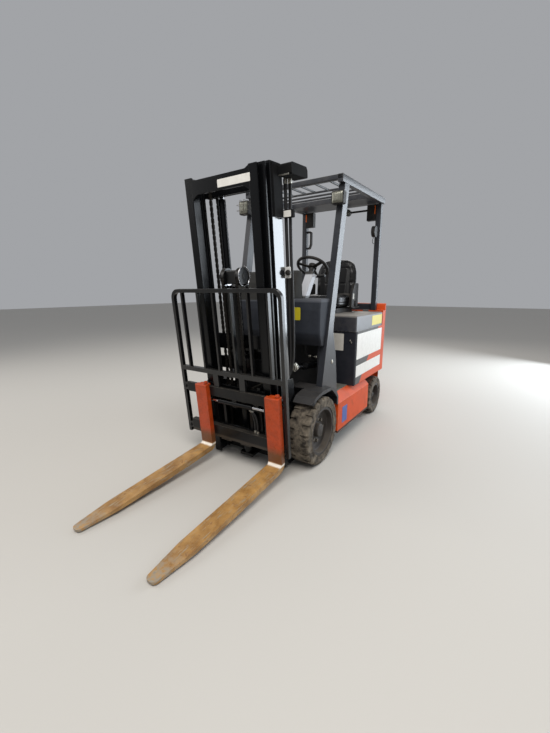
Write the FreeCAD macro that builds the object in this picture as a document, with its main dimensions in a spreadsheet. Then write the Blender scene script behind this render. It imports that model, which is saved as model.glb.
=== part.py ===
import FreeCAD, Part
import math
import os
import re
import Sketcher
from FreeCAD import Placement, Rotation, Vector

# Four-wheel electric counterbalance forklift with a three-stage mast, parked:
# the mast leans forward and the fork tips are just above the floor.
# X points to the truck's left, -Y is forward, Z is up, the floor is Z = 0.
# Chassis pieces are drawn with the front axle at Y = 0. Mast pieces are drawn
# on an upright mast, which is then tilted about the front axle.

doc = FreeCAD.newDocument("Forklift")
sheet = doc.addObject("Spreadsheet::Sheet", "Sizes")

# columns: name, value in millimetres or degrees
DRIVING = (
    ("half_width", 535), ("wheelbase", 1370),
    ("front_radius", 266.5), ("front_tyre_width", 178), ("front_rim_radius", 190.5),
    ("rear_radius", 203), ("rear_tyre_width", 127), ("rear_rim_radius", 133.5),
    ("kingpin_radius", 15), ("axle_tube_radius", 70), ("gear_case_radius", 138),
    ("sill_front", 290), ("sill_rear", 1050), ("sill_bottom", 145), ("sill_edge", 405), ("deck_top", 476),
    ("sill_chamfer", 67), ("plate", 12), ("floor_rear", 630), ("floor_thick", 6),
    ("panel_thick", 24), ("hood_top", 1108), ("hood_front", 625), ("hood_rear", 1398), ("hood_wall", 20),
    ("battery_front", 662), ("battery_rear", 1335), ("weight_front", 1403), ("weight_rear", 1700),
    ("weight_corner", 230), ("weight_horn", 1478), ("skirt_front", 1646), ("skirt_bottom", 290),
    ("hinge_pin_radius", 6), ("drawbar_radius", 16),
    ("pillar_width", 52), ("pillar_depth", 90), ("pillar_foot", 108), ("pillar_head", 422.5),
    ("roof_top", 2192), ("roof_beam", 58), ("roof_slope", 2.37), ("roof_front", 375), ("roof_rear", 1470),
    ("roof_plate_front", 1110), ("roof_bar", 14), ("rear_pillar_width", 55), ("rear_pillar_front", 1405),
    ("rear_pillar_depth", 60), ("fender_top", 582), ("fender_inner", 240), ("fender_sheet", 9),
    ("cowl_bottom", 905), ("cowl_rear", 338), ("cowl_top", 1265), ("dash_top", 1482), ("dash_left", 218),
    ("mast_tilt", 5.5), ("rail_depth", 120), ("rail_stagger", 35), ("rail_web", 11), ("flange_thick", 16),
    ("outer_front", 265), ("rail_bottom", 38), ("rail_top", 2107), ("outer_flange", 45), ("middle_flange", 60),
    ("inner_flange", 62), ("web_gap", 5), ("cross_thick", 14), ("cross_height", 100), ("lift_y", 117),
    ("lift_radius", 26), ("lift_rod_radius", 17), ("chain_width", 24), ("chain_thick", 12),
    ("free_y", 258), ("free_radius", 36), ("free_rod_radius", 22), ("sheave_radius", 60), ("sheave_width", 32),
    ("crosshead_z", 1450), ("front_chain_x", 66),
    ("fork_face", 440), ("fork_thick", 40), ("fork_width", 112), ("fork_length", 1065), ("fork_heel", 166),
    ("fork_shank", 504), ("tip_thick", 15), ("left_fork_x", 374), ("right_fork_x", -277), ("shift", -30),
    ("shifter_half", 430), ("bar_height", 76), ("low_bar_height", 100), ("upper_bar_top", 655), ("lower_bar_bottom", 234),
    ("backrest_top", 1380), ("backrest_half", 492), ("backrest_foot", 210), ("backrest_rail_z", 752),
    ("backrest_depth", 30), ("carriage_thick", 16), ("roller_radius", 43), ("shift_rod_radius", 12),
    ("shift_z", 538), ("eye_y", 30), ("eye_z", 765), ("tilt_pivot_y", 290), ("tilt_pivot_z", 722),
    ("tilt_pin_radius", 12), ("tilt_barrel_radius", 30), ("tilt_rod_radius", 15), ("eye_radius", 27),
    ("seat_x", 40), ("seat_half", 232), ("wheel_x", 140), ("wheel_y", 530), ("wheel_z", 1518),
    ("wheel_radius", 134), ("wheel_lean", 34), ("column_gap", 0.3),
)

# columns: name, formula over the sizes above
DERIVED = (
    ("guard_half", "half_width - 69"), ("sill_inner", "half_width - 110"), ("cowl_half", "half_width - 89"),
    ("battery_half", "half_width - 50"), ("front_wheel_x", "half_width + 4 - front_tyre_width / 2"),
    ("front_tyre_inner", "front_wheel_x - front_tyre_width / 2"),
    ("rear_wheel_x", "half_width - 19.5 - rear_tyre_width / 2"),
    ("kingpin_x", "rear_wheel_x - rear_tyre_width / 2 - 48.5"),
    ("mast_outer_half", "front_tyre_inner - 16"), ("lift_x", "mast_outer_half - 173"),
    ("chain_x", "mast_outer_half - 120"), ("eye_x", "mast_outer_half - 20"),
    ("cheek_x", "mast_outer_half - 133"), ("rear_pillar_out", "guard_half - 16"),
    ("roof_under", "roof_top - roof_beam"), ("hood_bottom", "hood_top - 140"),
    ("battery_top", "hood_bottom + 6"), ("weight_shelf", "hood_top + 12"), ("weight_top", "hood_top + 82"),
    ("panel_bottom", "deck_top + 2"), ("hinge_y", "hood_rear + 12"), ("hinge_z", "hood_top + 4"),
)


class Sizes:
    """The sheet's values, read back by name."""


for row, (name, value) in enumerate(DRIVING + DERIVED, 1):
    sheet.set(f"A{row}", name)
    sheet.set(f"B{row}", "=" + value if isinstance(value, str) else str(value))
    sheet.setAlias(f"B{row}", name)
doc.recompute()
S = Sizes()
for name, value in DRIVING + DERIVED:
    setattr(S, name, float(sheet.get(name)))

PLANES = {"xy": "XY_Plane", "xz": "XZ_Plane", "yz": "YZ_Plane"}
TURNS = {"x": Rotation(Vector(0, 1, 0), 90), "y": Rotation(Vector(1, 0, 0), -90), "z": Rotation()}


def bind(thing, prop, formula):
    """Bind a property to a formula over the names in the sheet."""
    thing.setExpression(prop, re.sub(r"[a-z][a-z_]+", lambda word: "Sizes." + word.group(0), str(formula)))


def box(name, x, y, z):
    """A block between pairs of formulas on each axis."""
    thing = doc.addObject("Part::Box", name)
    for prop, axis, (low, high) in (("Length", "x", x), ("Width", "y", y), ("Height", "z", z)):
        bind(thing, prop, f"({high}) - ({low})")
        bind(thing, "Placement.Base." + axis, low)
    return thing


def bar(name, axis, centre, radius, span):
    """A round bar along an axis; centre holds formulas for the other two axes in order."""
    thing = doc.addObject("Part::Cylinder", name)
    thing.Placement = Placement(Vector(), TURNS[axis])
    bind(thing, "Radius", radius)
    bind(thing, "Height", f"({span[1]}) - ({span[0]})")
    others = [letter for letter in "xyz" if letter != axis]
    for letter, formula in [(axis, span[0])] + list(zip(others, centre)):
        bind(thing, "Placement.Base." + letter, formula)
    return thing


def loop(points):
    """Edges of a closed outline; a third number rounds that corner with its radius."""
    count = len(points)
    ends = []
    arcs = []
    for k, point in enumerate(points):
        here = Vector(point[0], point[1], 0)
        radius = point[2] if len(point) > 2 else 0
        if not radius:
            ends.append((here, here))
            continue
        before = (Vector(*points[k - 1][:2], 0) - here).normalize()
        after = (Vector(*points[(k + 1) % count][:2], 0) - here).normalize()
        half = before.getAngle(after) / 2
        reach = radius / math.tan(half)
        middle = (before + after).normalize() * (radius / math.sin(half) - radius)
        ends.append((here + before * reach, here + after * reach))
        arcs.append(Part.Arc(ends[-1][0], here + middle, ends[-1][1]))
    lines = []
    for k in range(count):
        start = ends[k][1]
        stop = ends[(k + 1) % count][0]
        if start.distanceToPoint(stop) > 1e-6:
            lines.append(Part.LineSegment(start, stop))
    return lines + arcs


def sketched(name, plane, outlines):
    """A body with one sketch on an origin plane; outlines are closed corner lists."""
    body = doc.addObject("PartDesign::Body", name)
    sketch = body.newObject("Sketcher::SketchObject", name + "_sketch")
    origin = [item for item in body.Origin.OriginFeatures if item.Role == PLANES[plane]][0]
    sketch.AttachmentSupport = [(origin, "")]
    sketch.MapMode = "FlatFace"
    for outline in outlines:
        sketch.addGeometry(loop(outline), False)
    return body, sketch


def profile(name, plane, outlines, span):
    """A padded profile between two formulas along the plane's normal."""
    body, sketch = sketched(name, plane, outlines)
    pad = body.newObject("PartDesign::Pad", name + "_pad")
    pad.Profile = sketch
    bind(pad, "Length", f"({span[1]}) - ({span[0]})")
    offset = f"-({span[1]})" if plane == "xz" else span[0]
    bind(sketch, "AttachmentOffset.Base.z", offset)
    return body


def turned(name, axis, outline):
    """A body of revolution: (along, radius) corners about X, (radius, along) about Y or Z."""
    body, sketch = sketched(name, {"x": "xy", "y": "xy", "z": "xz"}[axis], [outline])
    feature = body.newObject("PartDesign::Revolution", name + "_turn")
    feature.Profile = sketch
    feature.ReferenceAxis = (sketch, ["H_Axis" if axis == "x" else "V_Axis"])
    feature.Angle = 360
    return body


def fuse(name, things):
    thing = doc.addObject("Part::MultiFuse", name)
    thing.Shapes = things
    return thing


def group(name, things):
    thing = doc.addObject("Part::Compound", name)
    thing.Links = things
    return thing


def cut(name, base, tools):
    thing = doc.addObject("Part::Cut", name)
    thing.Base = base
    thing.Tool = tools[0] if len(tools) == 1 else group(name + "_tools", tools)
    return thing


def mirror(name, source):
    thing = doc.addObject("Part::Mirroring", name)
    thing.Source = source
    thing.Normal = Vector(1, 0, 0)
    return thing


def pair(name, source):
    """The left piece and its mirror image on the right."""
    return group(name, [source, mirror(name + "_right", source)])


def moved(name, source, x, y, z, turn=Rotation()):
    """One piece carried to a place."""
    thing = group(name, [source])
    thing.Placement = Placement(Vector(x, y, z), turn)
    return thing


def rounded(name, source, radius, wanted):
    """Fillet the edges of a piece that the test picks."""
    doc.recompute()
    thing = doc.addObject("Part::Fillet", name)
    thing.Base = source
    thing.Edges = [(k, radius, radius) for k, edge in enumerate(source.Shape.Edges, 1) if wanted(edge)]
    return thing


def along(axis):
    """A test for straight edges along one axis."""
    def test(edge):
        start, stop = edge.Vertexes[0].Point, edge.Vertexes[-1].Point
        step = stop - start
        length = step.Length
        return length > 1 and abs(step.dot(axis)) > 0.999 * length
    return test


X_AXIS, Y_AXIS, Z_AXIS = Vector(1, 0, 0), Vector(0, 1, 0), Vector(0, 0, 1)

# Frames: every chassis piece moves back by one shift, so that the whole truck's
# box is centred on Y = 0; mast pieces are also tilted about the front axle.
LEAN = Rotation(X_AXIS, S.mast_tilt)


def leaned(y, z):
    """Where a point of the upright mast lies once the mast is tilted, before the shift."""
    point = LEAN.multVec(Vector(0, y, z - S.front_radius))
    return point.y, point.z + S.front_radius


TIP_Y, TIP_Z = leaned(-(S.fork_face + S.fork_length), S.fork_heel)
SHIFT_Y = -(S.weight_rear + TIP_Y) / 2
CHASSIS = Placement(Vector(0, SHIFT_Y, 0), Rotation())
AXLE_POINT = Vector(0, 0, S.front_radius)
MAST = Placement(Vector(0, SHIFT_Y, 0) + AXLE_POINT - LEAN.multVec(AXLE_POINT), LEAN)

NODES = []


def node(name, frame, things):
    """Finish one named sub-part: its pieces, its label and its place."""
    thing = group(name, things)
    thing.Label = name
    thing.Placement = frame
    NODES.append(thing)
    return thing


# Frame: two sills with a bevelled top edge, closed by a deck, a belly plate and two walls
def frame():
    sill = profile("sill", "xz", [[
        (S.half_width, S.sill_bottom), (S.half_width, S.sill_edge), (S.half_width - S.sill_chamfer, S.deck_top),
        (S.sill_inner, S.deck_top), (S.sill_inner, S.sill_bottom)]], ("sill_front", "sill_rear"))
    deck = box("deck", ("-sill_inner", "sill_inner"), ("sill_front", "sill_rear"),
               ("deck_top - plate", "deck_top"))
    belly = box("belly", ("-sill_inner", "sill_inner"), ("sill_front", "sill_rear"),
                ("sill_bottom", "sill_bottom + plate"))
    front = box("front_wall", ("-sill_inner", "sill_inner"), ("sill_front", "sill_front + plate"),
                ("sill_bottom", "deck_top"))
    rear = box("rear_wall", ("-sill_inner", "sill_inner"), ("sill_rear - plate", "sill_rear"),
               ("sill_bottom", "deck_top"))
    node("chassis_frame", CHASSIS, [fuse("frame_body", [sill, mirror("sill_right", sill), deck, belly, front, rear])])
    cheek = profile("cheek", "yz", [[
        (-110, 190, 60), (-110, 345, 60), (120, 470), (S.sill_front, S.deck_top),
        (S.sill_front, S.sill_bottom), (60, S.sill_bottom)]], ("cheek_x", "cheek_x + 22"))
    hole = bar("cheek_hole", "x", ("0", "front_radius"), "axle_tube_radius + 0.3", ("cheek_x - 10", "cheek_x + 40"))
    node("axle_cheeks", CHASSIS, [pair("cheek_pair", cut("cheek_bored", cheek, [hole]))])
    rear_deck = box("rear_deck_plate", ("-half_width + 26", "half_width - 26"), ("sill_rear", "weight_front"),
                    ("deck_top - plate", "deck_top"))
    tongue = box("rear_deck_tongue", (-300, 300), ("weight_front - 10", "skirt_front - 6"),
                 ("deck_top - plate", "deck_top"))
    node("rear_deck", CHASSIS, [fuse("rear_deck_body", [rear_deck, tongue])])


# Operator's floor with the toe board
def floor():
    plate = box("floor_plate", ("-half_width + sill_chamfer", "half_width - sill_chamfer"),
                ("sill_front + 2", "floor_rear"), ("deck_top", "deck_top + floor_thick"))
    toe = profile("toe_board", "yz", [[
        (S.cowl_rear + 34, S.deck_top + 3), (S.cowl_rear + 46, S.deck_top + 3),
        (S.cowl_rear - 2, S.cowl_bottom), (S.cowl_rear - 14, S.cowl_bottom)]],
        ("-fender_inner - 160", "fender_inner + 160"))
    return node("floor_step", CHASSIS, [fuse("floor_body", [plate, toe])])


# Front fenders: a sheet arched over the tyre with a deep outer edge, a lip in front
# and a wall behind; the plan is rounded at the outer front corner
def arch(depth):
    """The side view of the arch, as deep as asked below its upper line."""
    top = S.fender_top
    outer = [(-176, top - 62), (-128, top - 19, 40), (-40, top, 60), (165, top, 60), (243, top - 46, 60),
             (S.sill_front, S.deck_top - 4), (S.sill_front, S.sill_edge)]
    inner = [(S.sill_front - depth, S.sill_edge), (S.sill_front - depth, S.deck_top - 8),
             (238 - depth, top - 46 - depth * 0.9, 50), (161 - depth * 0.3, top - depth, 50),
             (-38 + depth * 0.1, top - depth, 40), (-124 + depth * 0.5, top - 19 - depth * 0.9, 30),
             (-176 + depth * 0.8, top - 62 - depth * 0.5)]
    return [outer + inner]


def fenders():
    top = S.fender_top
    sheet_metal = profile("fender", "yz", arch(S.fender_sheet), ("fender_inner", "half_width - 3"))
    edge = profile("fender_edge", "yz", arch(24), ("half_width - 13", "half_width - 3"))
    wall = profile("fender_wall", "yz", [[
        (20, top - 110, 50), (20, top - 9), (165, top - 9), (S.sill_front - 9, S.deck_top - 8),
        (S.sill_front - 9, S.sill_edge), (180, S.sill_edge + 60, 80)]], ("fender_inner", "fender_inner + 8"))
    plan = profile("fender_plan", "xy", [[
        (S.fender_inner - 1, 10), (S.front_tyre_inner + 3, 10), (S.front_tyre_inner + 3, -178),
        (S.half_width - 3, -178, 40), (S.half_width - 3, S.sill_front + 5), (S.fender_inner - 1, S.sill_front + 5)]],
        ("sill_edge - 60", "fender_top + 30"))
    left = doc.addObject("Part::Common", "fender_left")
    left.Base = fuse("fender_whole", [sheet_metal, edge, wall])
    left.Tool = plan
    return node("front_fenders", CHASSIS, [pair("fender_pair", left)])


# Cowl in front of the operator, open below, with side skirts round the tilt cylinders
def cowl():
    shell = profile("cowl_shell", "yz", [[
        (112, S.cowl_bottom), (78, 1000, 60), (74, 1180, 60), (86, S.cowl_top, 24),
        (S.cowl_rear - 8, S.cowl_top, 18), (S.cowl_rear, 1150, 60), (S.cowl_rear, S.cowl_bottom)]],
        ("-cowl_half", "cowl_half"))
    low_body = rounded("cowl_round", shell, 14, lambda edge: abs(edge.BoundBox.XLength) < 0.01
                       and edge.BoundBox.ZMax > S.cowl_bottom + 60 and edge.BoundBox.YMax < S.cowl_rear - 1)
    dash = profile("dash", "yz", [[
        (78, 1180), (98, S.dash_top - 90, 60), (140, S.dash_top, 40), (218, S.dash_top, 30), (236, 1180)]],
        ("-cowl_half", "dash_left"))
    dash_round = rounded("dash_round", dash, 22, lambda edge: edge.BoundBox.ZMin > S.cowl_top + 30
                         and abs(edge.BoundBox.XLength) < 0.01)
    body = fuse("cowl_high", [low_body, dash_round])
    skirt = box("cowl_skirt", ("cowl_half - 48", "cowl_half - 34"), ("150", "cowl_rear - 16"),
                ("fender_top", "cowl_bottom"))
    arm = box("tilt_arm", ("eye_x + 17", "cowl_half - 46"), ("tilt_pivot_y - 14", "tilt_pivot_y + 22"),
              ("tilt_pivot_z - 40", "tilt_pivot_z + 40"))
    pin = bar("tilt_pivot_pin", "x", ("tilt_pivot_y", "tilt_pivot_z"), "tilt_pin_radius",
              ("eye_x - 17", "eye_x + 17"))
    side = fuse("cowl_side", [skirt, arm, pin])
    trimmed = cut("cowl_trimmed", body, [doc.getObject("front_pillar"), doc.getObject("front_pillar_right")])
    return node("cowl", CHASSIS, [fuse("cowl_body", [trimmed, side, mirror("cowl_side_right", side)])])


# Steering column, hydraulic levers on the cowl and pedals in front of the toe board
WHEEL_AXIS = Rotation(X_AXIS, -S.wheel_lean)


def controls():
    length = 362
    post = bar("column_post", "z", ("0", "0"), 24, (-length, "-column_gap"))
    cover = profile("column_cover", "xy", [[(-34, -40, 16), (48, -40, 16), (44, 42, 20), (-30, 42, 20)]],
                    (-length, -62))
    stalk = bar("direction_stalk", "x", ("-5", "-85"), 6, (30, 125))
    knob = bar("stalk_knob", "x", ("-5", "-85"), 11, (118, 150))
    whole = fuse("column_whole", [post, cover, stalk, knob])
    placed = moved("column_placed", whole, S.wheel_x, S.wheel_y, S.wheel_z, WHEEL_AXIS)
    pieces = [cut("column_trimmed", placed, [doc.getObject("cowl_round")])]
    for k, x in enumerate((-60, -110, -160)):
        stem = bar(f"lever_stem_{k}", "z", (x, 280), 6, ("cowl_top - 10", "cowl_top + 175"))
        knob = bar(f"lever_knob_{k}", "z", (x, 280), 14, ("cowl_top + 165", "cowl_top + 203"))
        pieces.append(cut(f"lever_{k}", fuse(f"lever_whole_{k}", [stem, knob]), [doc.getObject("cowl_round")]))
    for k, (x, width) in enumerate(((-40, 70), (90, 55))):
        foot = box(f"pedal_{k}", (x, x + width), (390, 402), (530, 610))
        arm = box(f"pedal_arm_{k}", (x + 20, x + 32), (374.9, 391), (560, 580))
        pieces.append(fuse(f"pedal_whole_{k}", [foot, arm]))
    return node("controls", CHASSIS, pieces)


def drive_axle():
    tube = bar("axle_tube", "x", ("0", "front_radius"), "axle_tube_radius",
               ("-front_tyre_inner", "front_tyre_inner"))
    reach = S.cheek_x - 70
    case = turned("gear_case", "x", [
        (-reach, 0), (-reach, S.axle_tube_radius + 20), (-reach * 0.63, S.gear_case_radius, 30),
        (reach * 0.63, S.gear_case_radius, 30), (reach, S.axle_tube_radius + 20), (reach, 0)])
    placed = moved("gear_case_placed", case, 0, 0, S.front_radius)
    nose = bar("pinion_case", "y", ("0", "front_radius"), 88, ("60", "sill_front"))
    return node("drive_axle", CHASSIS, [fuse("axle_body", [tube, placed, nose])])


# Steer axle: a beam under the counterweight with a yoke and kingpin at each end
def steer_axle():
    beam = box("steer_beam", ("-kingpin_x + 40", "kingpin_x - 40"), ("wheelbase - 35", "wheelbase + 35"), (240, 300))
    mount = box("steer_mount", (-100, 100), ("wheelbase - 50", "wheelbase + 50"), (300, "deck_top - plate"))
    upper = box("yoke_top", ("kingpin_x - 50", "kingpin_x + 26"), ("wheelbase - 27", "wheelbase + 27"), (300, 318))
    lower = box("yoke_bottom", ("kingpin_x - 50", "kingpin_x + 26"), ("wheelbase - 27", "wheelbase + 27"), (112, 130))
    back = box("yoke_back", ("kingpin_x - 66", "kingpin_x - 40"), ("wheelbase - 35", "wheelbase + 35"), (112, 318))
    pin = bar("kingpin", "z", ("kingpin_x", "wheelbase"), "kingpin_radius", (120, 310))
    side = fuse("steer_side", [upper, lower, back, pin])
    return node("steer_axle", CHASSIS, [fuse("steer_body", [beam, mount, side, mirror("steer_right", side)])])


# Counterweight: a side profile cut to the plan outline with round rear corners
def counterweight():
    side = profile("weight_side", "yz", [[
        (S.weight_front, S.deck_top), (S.weight_front, S.weight_shelf), (S.weight_horn, S.weight_shelf, 12),
        (S.weight_horn + 8, S.weight_top, 22), (S.weight_rear - 95, S.weight_top, 70), (S.weight_rear, S.weight_top - 85, 60),
        (S.weight_rear, S.skirt_bottom + 60, 30), (S.weight_rear - 25, S.skirt_bottom), (S.skirt_front, S.skirt_bottom),
        (S.skirt_front, S.deck_top)]], ("-half_width", "half_width"))
    plan = profile("weight_plan", "xy", [[
        (-S.half_width, S.weight_front - 5), (S.half_width, S.weight_front - 5),
        (S.half_width, S.weight_rear, S.weight_corner), (-S.half_width, S.weight_rear, S.weight_corner)]],
        ("skirt_bottom - 20", "weight_top + 20"))
    body = doc.addObject("Part::Common", "weight_body")
    body.Base = side
    body.Tool = plan
    pocket = box("drawbar_pocket", (-55, 55), ("weight_rear - 70", "weight_rear + 10"), (520, 600))
    tow_pin = bar("drawbar_pin", "z", ("0", "weight_rear - 38"), "drawbar_radius", (515, 605))
    recess = box("hinge_recess", (315, 385), ("weight_front - 5", "hinge_y + 17"), ("hinge_z - 17", "weight_shelf + 5"))
    hinge_pin = bar("hinge_pin", "x", ("hinge_y", "hinge_z"), "hinge_pin_radius", (310, 390))
    trimmed = cut("weight_cut", body, [pocket, recess, mirror("hinge_recess_right", recess)])
    return node("counterweight", CHASSIS, [fuse("weight_whole", [
        trimmed, tow_pin, hinge_pin, mirror("hinge_pin_right", hinge_pin)])])


def battery():
    return node("battery", CHASSIS, [box("battery_block", ("-battery_half", "battery_half"),
                                         ("battery_front", "battery_rear"), ("deck_top", "battery_top"))])


def battery_panels():
    front = box("front_panel", ("-half_width + 1", "half_width - 1"), ("floor_rear + 2", "floor_rear + 26"),
                ("deck_top", "hood_bottom - 0.3"))
    front_round = rounded("front_panel_round", front, 10, along(Z_AXIS))
    side = box("side_panel", ("half_width - panel_thick", "half_width"), ("floor_rear + 28", "weight_front - 3"),
               ("panel_bottom", "hood_bottom - 0.3"))
    lip = box("side_panel_foot", ("battery_half", "half_width - panel_thick"),
              ("floor_rear + 60", "weight_front - 40"), ("deck_top", "deck_top + 40"))
    left = fuse("side_panel_left", [side, lip])
    return node("battery_panels", CHASSIS, [front_round, pair("side_panel_pair", left)])


ROOF_SLOPE = Rotation(X_AXIS, S.roof_slope)


def roof_line(y, depth):
    """Height of the sloping roof at Y, a depth below its top."""
    slope = math.radians(S.roof_slope)
    return S.roof_top + (y - S.roof_front) * math.tan(slope) - depth / math.cos(slope)


def front_edge(z):
    """Y of the front pillar's front edge at a height."""
    return S.pillar_foot + (S.pillar_head - S.pillar_foot) * (z - S.fender_top) / (S.roof_under - S.fender_top)


# Guard pillars: the front pair leans back and flares into a gusset on the fender
def pillars():
    roof_under = S.roof_under
    top = S.fender_top
    head = front_edge(roof_under)
    head_rear = head + S.pillar_depth
    outline = [
        (front_edge(top), top), (head, roof_line(head, S.roof_beam)),
        (head_rear, roof_line(head_rear, S.roof_beam)), (front_edge(1010) + S.pillar_depth, 1010, 200),
        (352, 820, 200), (388, 600, 60), (404, S.deck_top + S.floor_thick),
        (S.sill_front + 1, S.deck_top + S.floor_thick), (246, top - 44, 60), (167, top, 60)]
    front = profile("front_pillar", "yz", [outline], ("guard_half - pillar_width", "guard_half"))
    near, far = S.rear_pillar_front, S.rear_pillar_front + S.rear_pillar_depth
    rear = profile("rear_pillar", "yz", [[
        (near, S.weight_shelf), (near, roof_line(near, S.roof_beam)), (far, roof_line(far, S.roof_beam)),
        (far, S.weight_shelf)]], ("rear_pillar_out - rear_pillar_width", "rear_pillar_out"))
    rear_round = rounded("rear_pillar_round", rear, 10, along(Z_AXIS))
    pillars_all = [front, mirror("front_pillar_right", front), rear_round, mirror("rear_pillar_right", rear_round)]
    return node("guard_pillars", CHASSIS, pillars_all)


# Guard roof: a frame of beams that rises to the rear, thin bars in front and a plate behind
def roof():
    under = "roof_under"
    side = box("roof_side", ("guard_half - 45", "guard_half"), ("roof_front", "roof_rear"), (under, "roof_top"))
    front = box("roof_front_beam", ("-guard_half", "guard_half"), ("roof_front", "roof_front + 50"),
                (under, "roof_top"))
    frame_parts = [side, mirror("roof_side_right", side), front]
    for k, y in enumerate((735, 862, 985)):
        frame_parts.append(box(f"roof_cross_{k}", ("-guard_half + 40", "guard_half - 40"), (y, y + 30),
                               (under + " + 18", "roof_top - 8")))
    for k, x in enumerate((-314, -180, -48, 48, 180, 314)):
        frame_parts.append(box(f"roof_bar_{k}", (f"{x} - roof_bar / 2", f"{x} + roof_bar / 2"),
                               ("roof_front + 40", 745), ("roof_top - 30", "roof_top - 6")))
    frame_parts.append(box("roof_plate", ("-guard_half + 40", "guard_half - 40"),
                           ("roof_plate_front", "roof_rear"), (under + " + 8", "roof_top - 3")))
    top = Vector(0, S.roof_front, S.roof_top)
    base = top - ROOF_SLOPE.multVec(top)
    node("guard_roof", CHASSIS, [moved("roof_sloped", fuse("roof_body", frame_parts), base.x, base.y, base.z, ROOF_SLOPE)])


# Headlamps in front of the pillars, rear lamps, a lamp on an arm, the alarm and the bent grip
def headlamp(name, sign, low, high):
    """A lamp box in front of one front pillar, on a foot that reaches it."""
    rear = front_edge(S.roof_top - 225) - 17
    lamp = box(name, (f"{sign} * (guard_half - 18) - 50", f"{sign} * (guard_half - 18) + 50"), (rear - 50, rear),
               (low, high))
    lamp_round = rounded(name + "_round", lamp, 12, along(Y_AXIS))
    foot = box(name + "_foot", (f"{sign} * (guard_half - 26) - 14", f"{sign} * (guard_half - 26) + 14"),
               (rear - 22, front_edge(S.roof_top - 150) - 0.9), ("roof_top - 150", "roof_top - 135"))
    return fuse(name + "_whole", [lamp_round, foot])


def fittings():
    inside = "rear_pillar_out - rear_pillar_width - 0.2"
    side = S.rear_pillar_out - S.rear_pillar_width - 0.2
    lamp_top = roof_line(S.rear_pillar_front - 5, S.roof_beam) - 0.2
    rear = box("rear_lamp", (inside + " - 88", inside), ("rear_pillar_front - 5", "rear_pillar_front + 50"),
               (lamp_top - 150, lamp_top))
    arm_z = S.roof_top - 60
    arm = bar("lamp_arm", "x", ("rear_pillar_front + 30", arm_z), 10, (105, side - 80))
    lamp = bar("arm_lamp", "y", (91, arm_z), 33, ("rear_pillar_front + 4", "rear_pillar_front + 44"))
    left = fuse("rear_lamps_left", [rear, arm, lamp])
    horn_y, horn_z = S.rear_pillar_front - 58, S.roof_top - 286
    alarm = bar("alarm", "x", (horn_y, horn_z), 53, (side, side + 36))
    stem = box("alarm_stem", (side + 6, side + 30), (horn_y, "rear_pillar_front - 0.2"), (horn_z - 14, horn_z + 14))
    low, high = S.roof_top - 400, S.roof_top - 204
    grip = profile("grip_bar", "xz", [[
        (-side, low), (-side + 40, low, 24), (-side + 60, low + 50, 24), (-side + 60, high, 26), (-side, high),
        (-side, high - 20), (-side + 38, high - 20, 10), (-side + 38, low + 56, 10), (-side + 26, low + 20, 10),
        (-side, low + 20)]],
        ("rear_pillar_front + 18", "rear_pillar_front + 42"))
    lamps = [headlamp("headlamp_left", 1, "roof_top - 225", "roof_top - 132"),
             headlamp("headlamp_right", -1, "roof_top - 202", "roof_top - 88")]
    return node("guard_fittings", CHASSIS, lamps + [left, mirror("rear_lamp_right", rear),
                                                    fuse("alarm_whole", [alarm, stem]), grip])


# Hood: a lid over the battery with a skirt all round, hollow below, carrying the seat
def hood():
    outer = box("hood_outer", ("-half_width", "half_width"), ("hood_front", "hood_rear"),
                ("hood_bottom", "hood_top"))
    outer_round = rounded("hood_round", outer, 18, lambda edge: edge.BoundBox.ZMin > S.hood_top - 1
                          or along(Z_AXIS)(edge))
    hollow = box("hood_hollow", ("-half_width + hood_wall", "half_width - hood_wall"),
                 ("hood_front + hood_wall", "hood_rear - hood_wall"), ("hood_bottom - 5", "hood_top - hood_wall"))
    lid = cut("hood_shell", outer_round, [hollow])
    arm = box("hinge_arm", (322, 378), ("hood_rear - 14", "hinge_y"), ("hinge_z - 11", "hinge_z + 11"))
    sleeve = bar("hinge_sleeve", "x", ("hinge_y", "hinge_z"), 11, (322, 378))
    hole = bar("hinge_hole", "x", ("hinge_y", "hinge_z"), "hinge_pin_radius + 0.05", (300, 400))
    arms = [arm, sleeve, mirror("hinge_arm_right", arm), mirror("hinge_sleeve_right", sleeve)]
    return node("hood", CHASSIS, [cut("hood_body", fuse("hood_whole", [lid] + arms),
                                      [hole, mirror("hinge_hole_right", hole)])])


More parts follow.
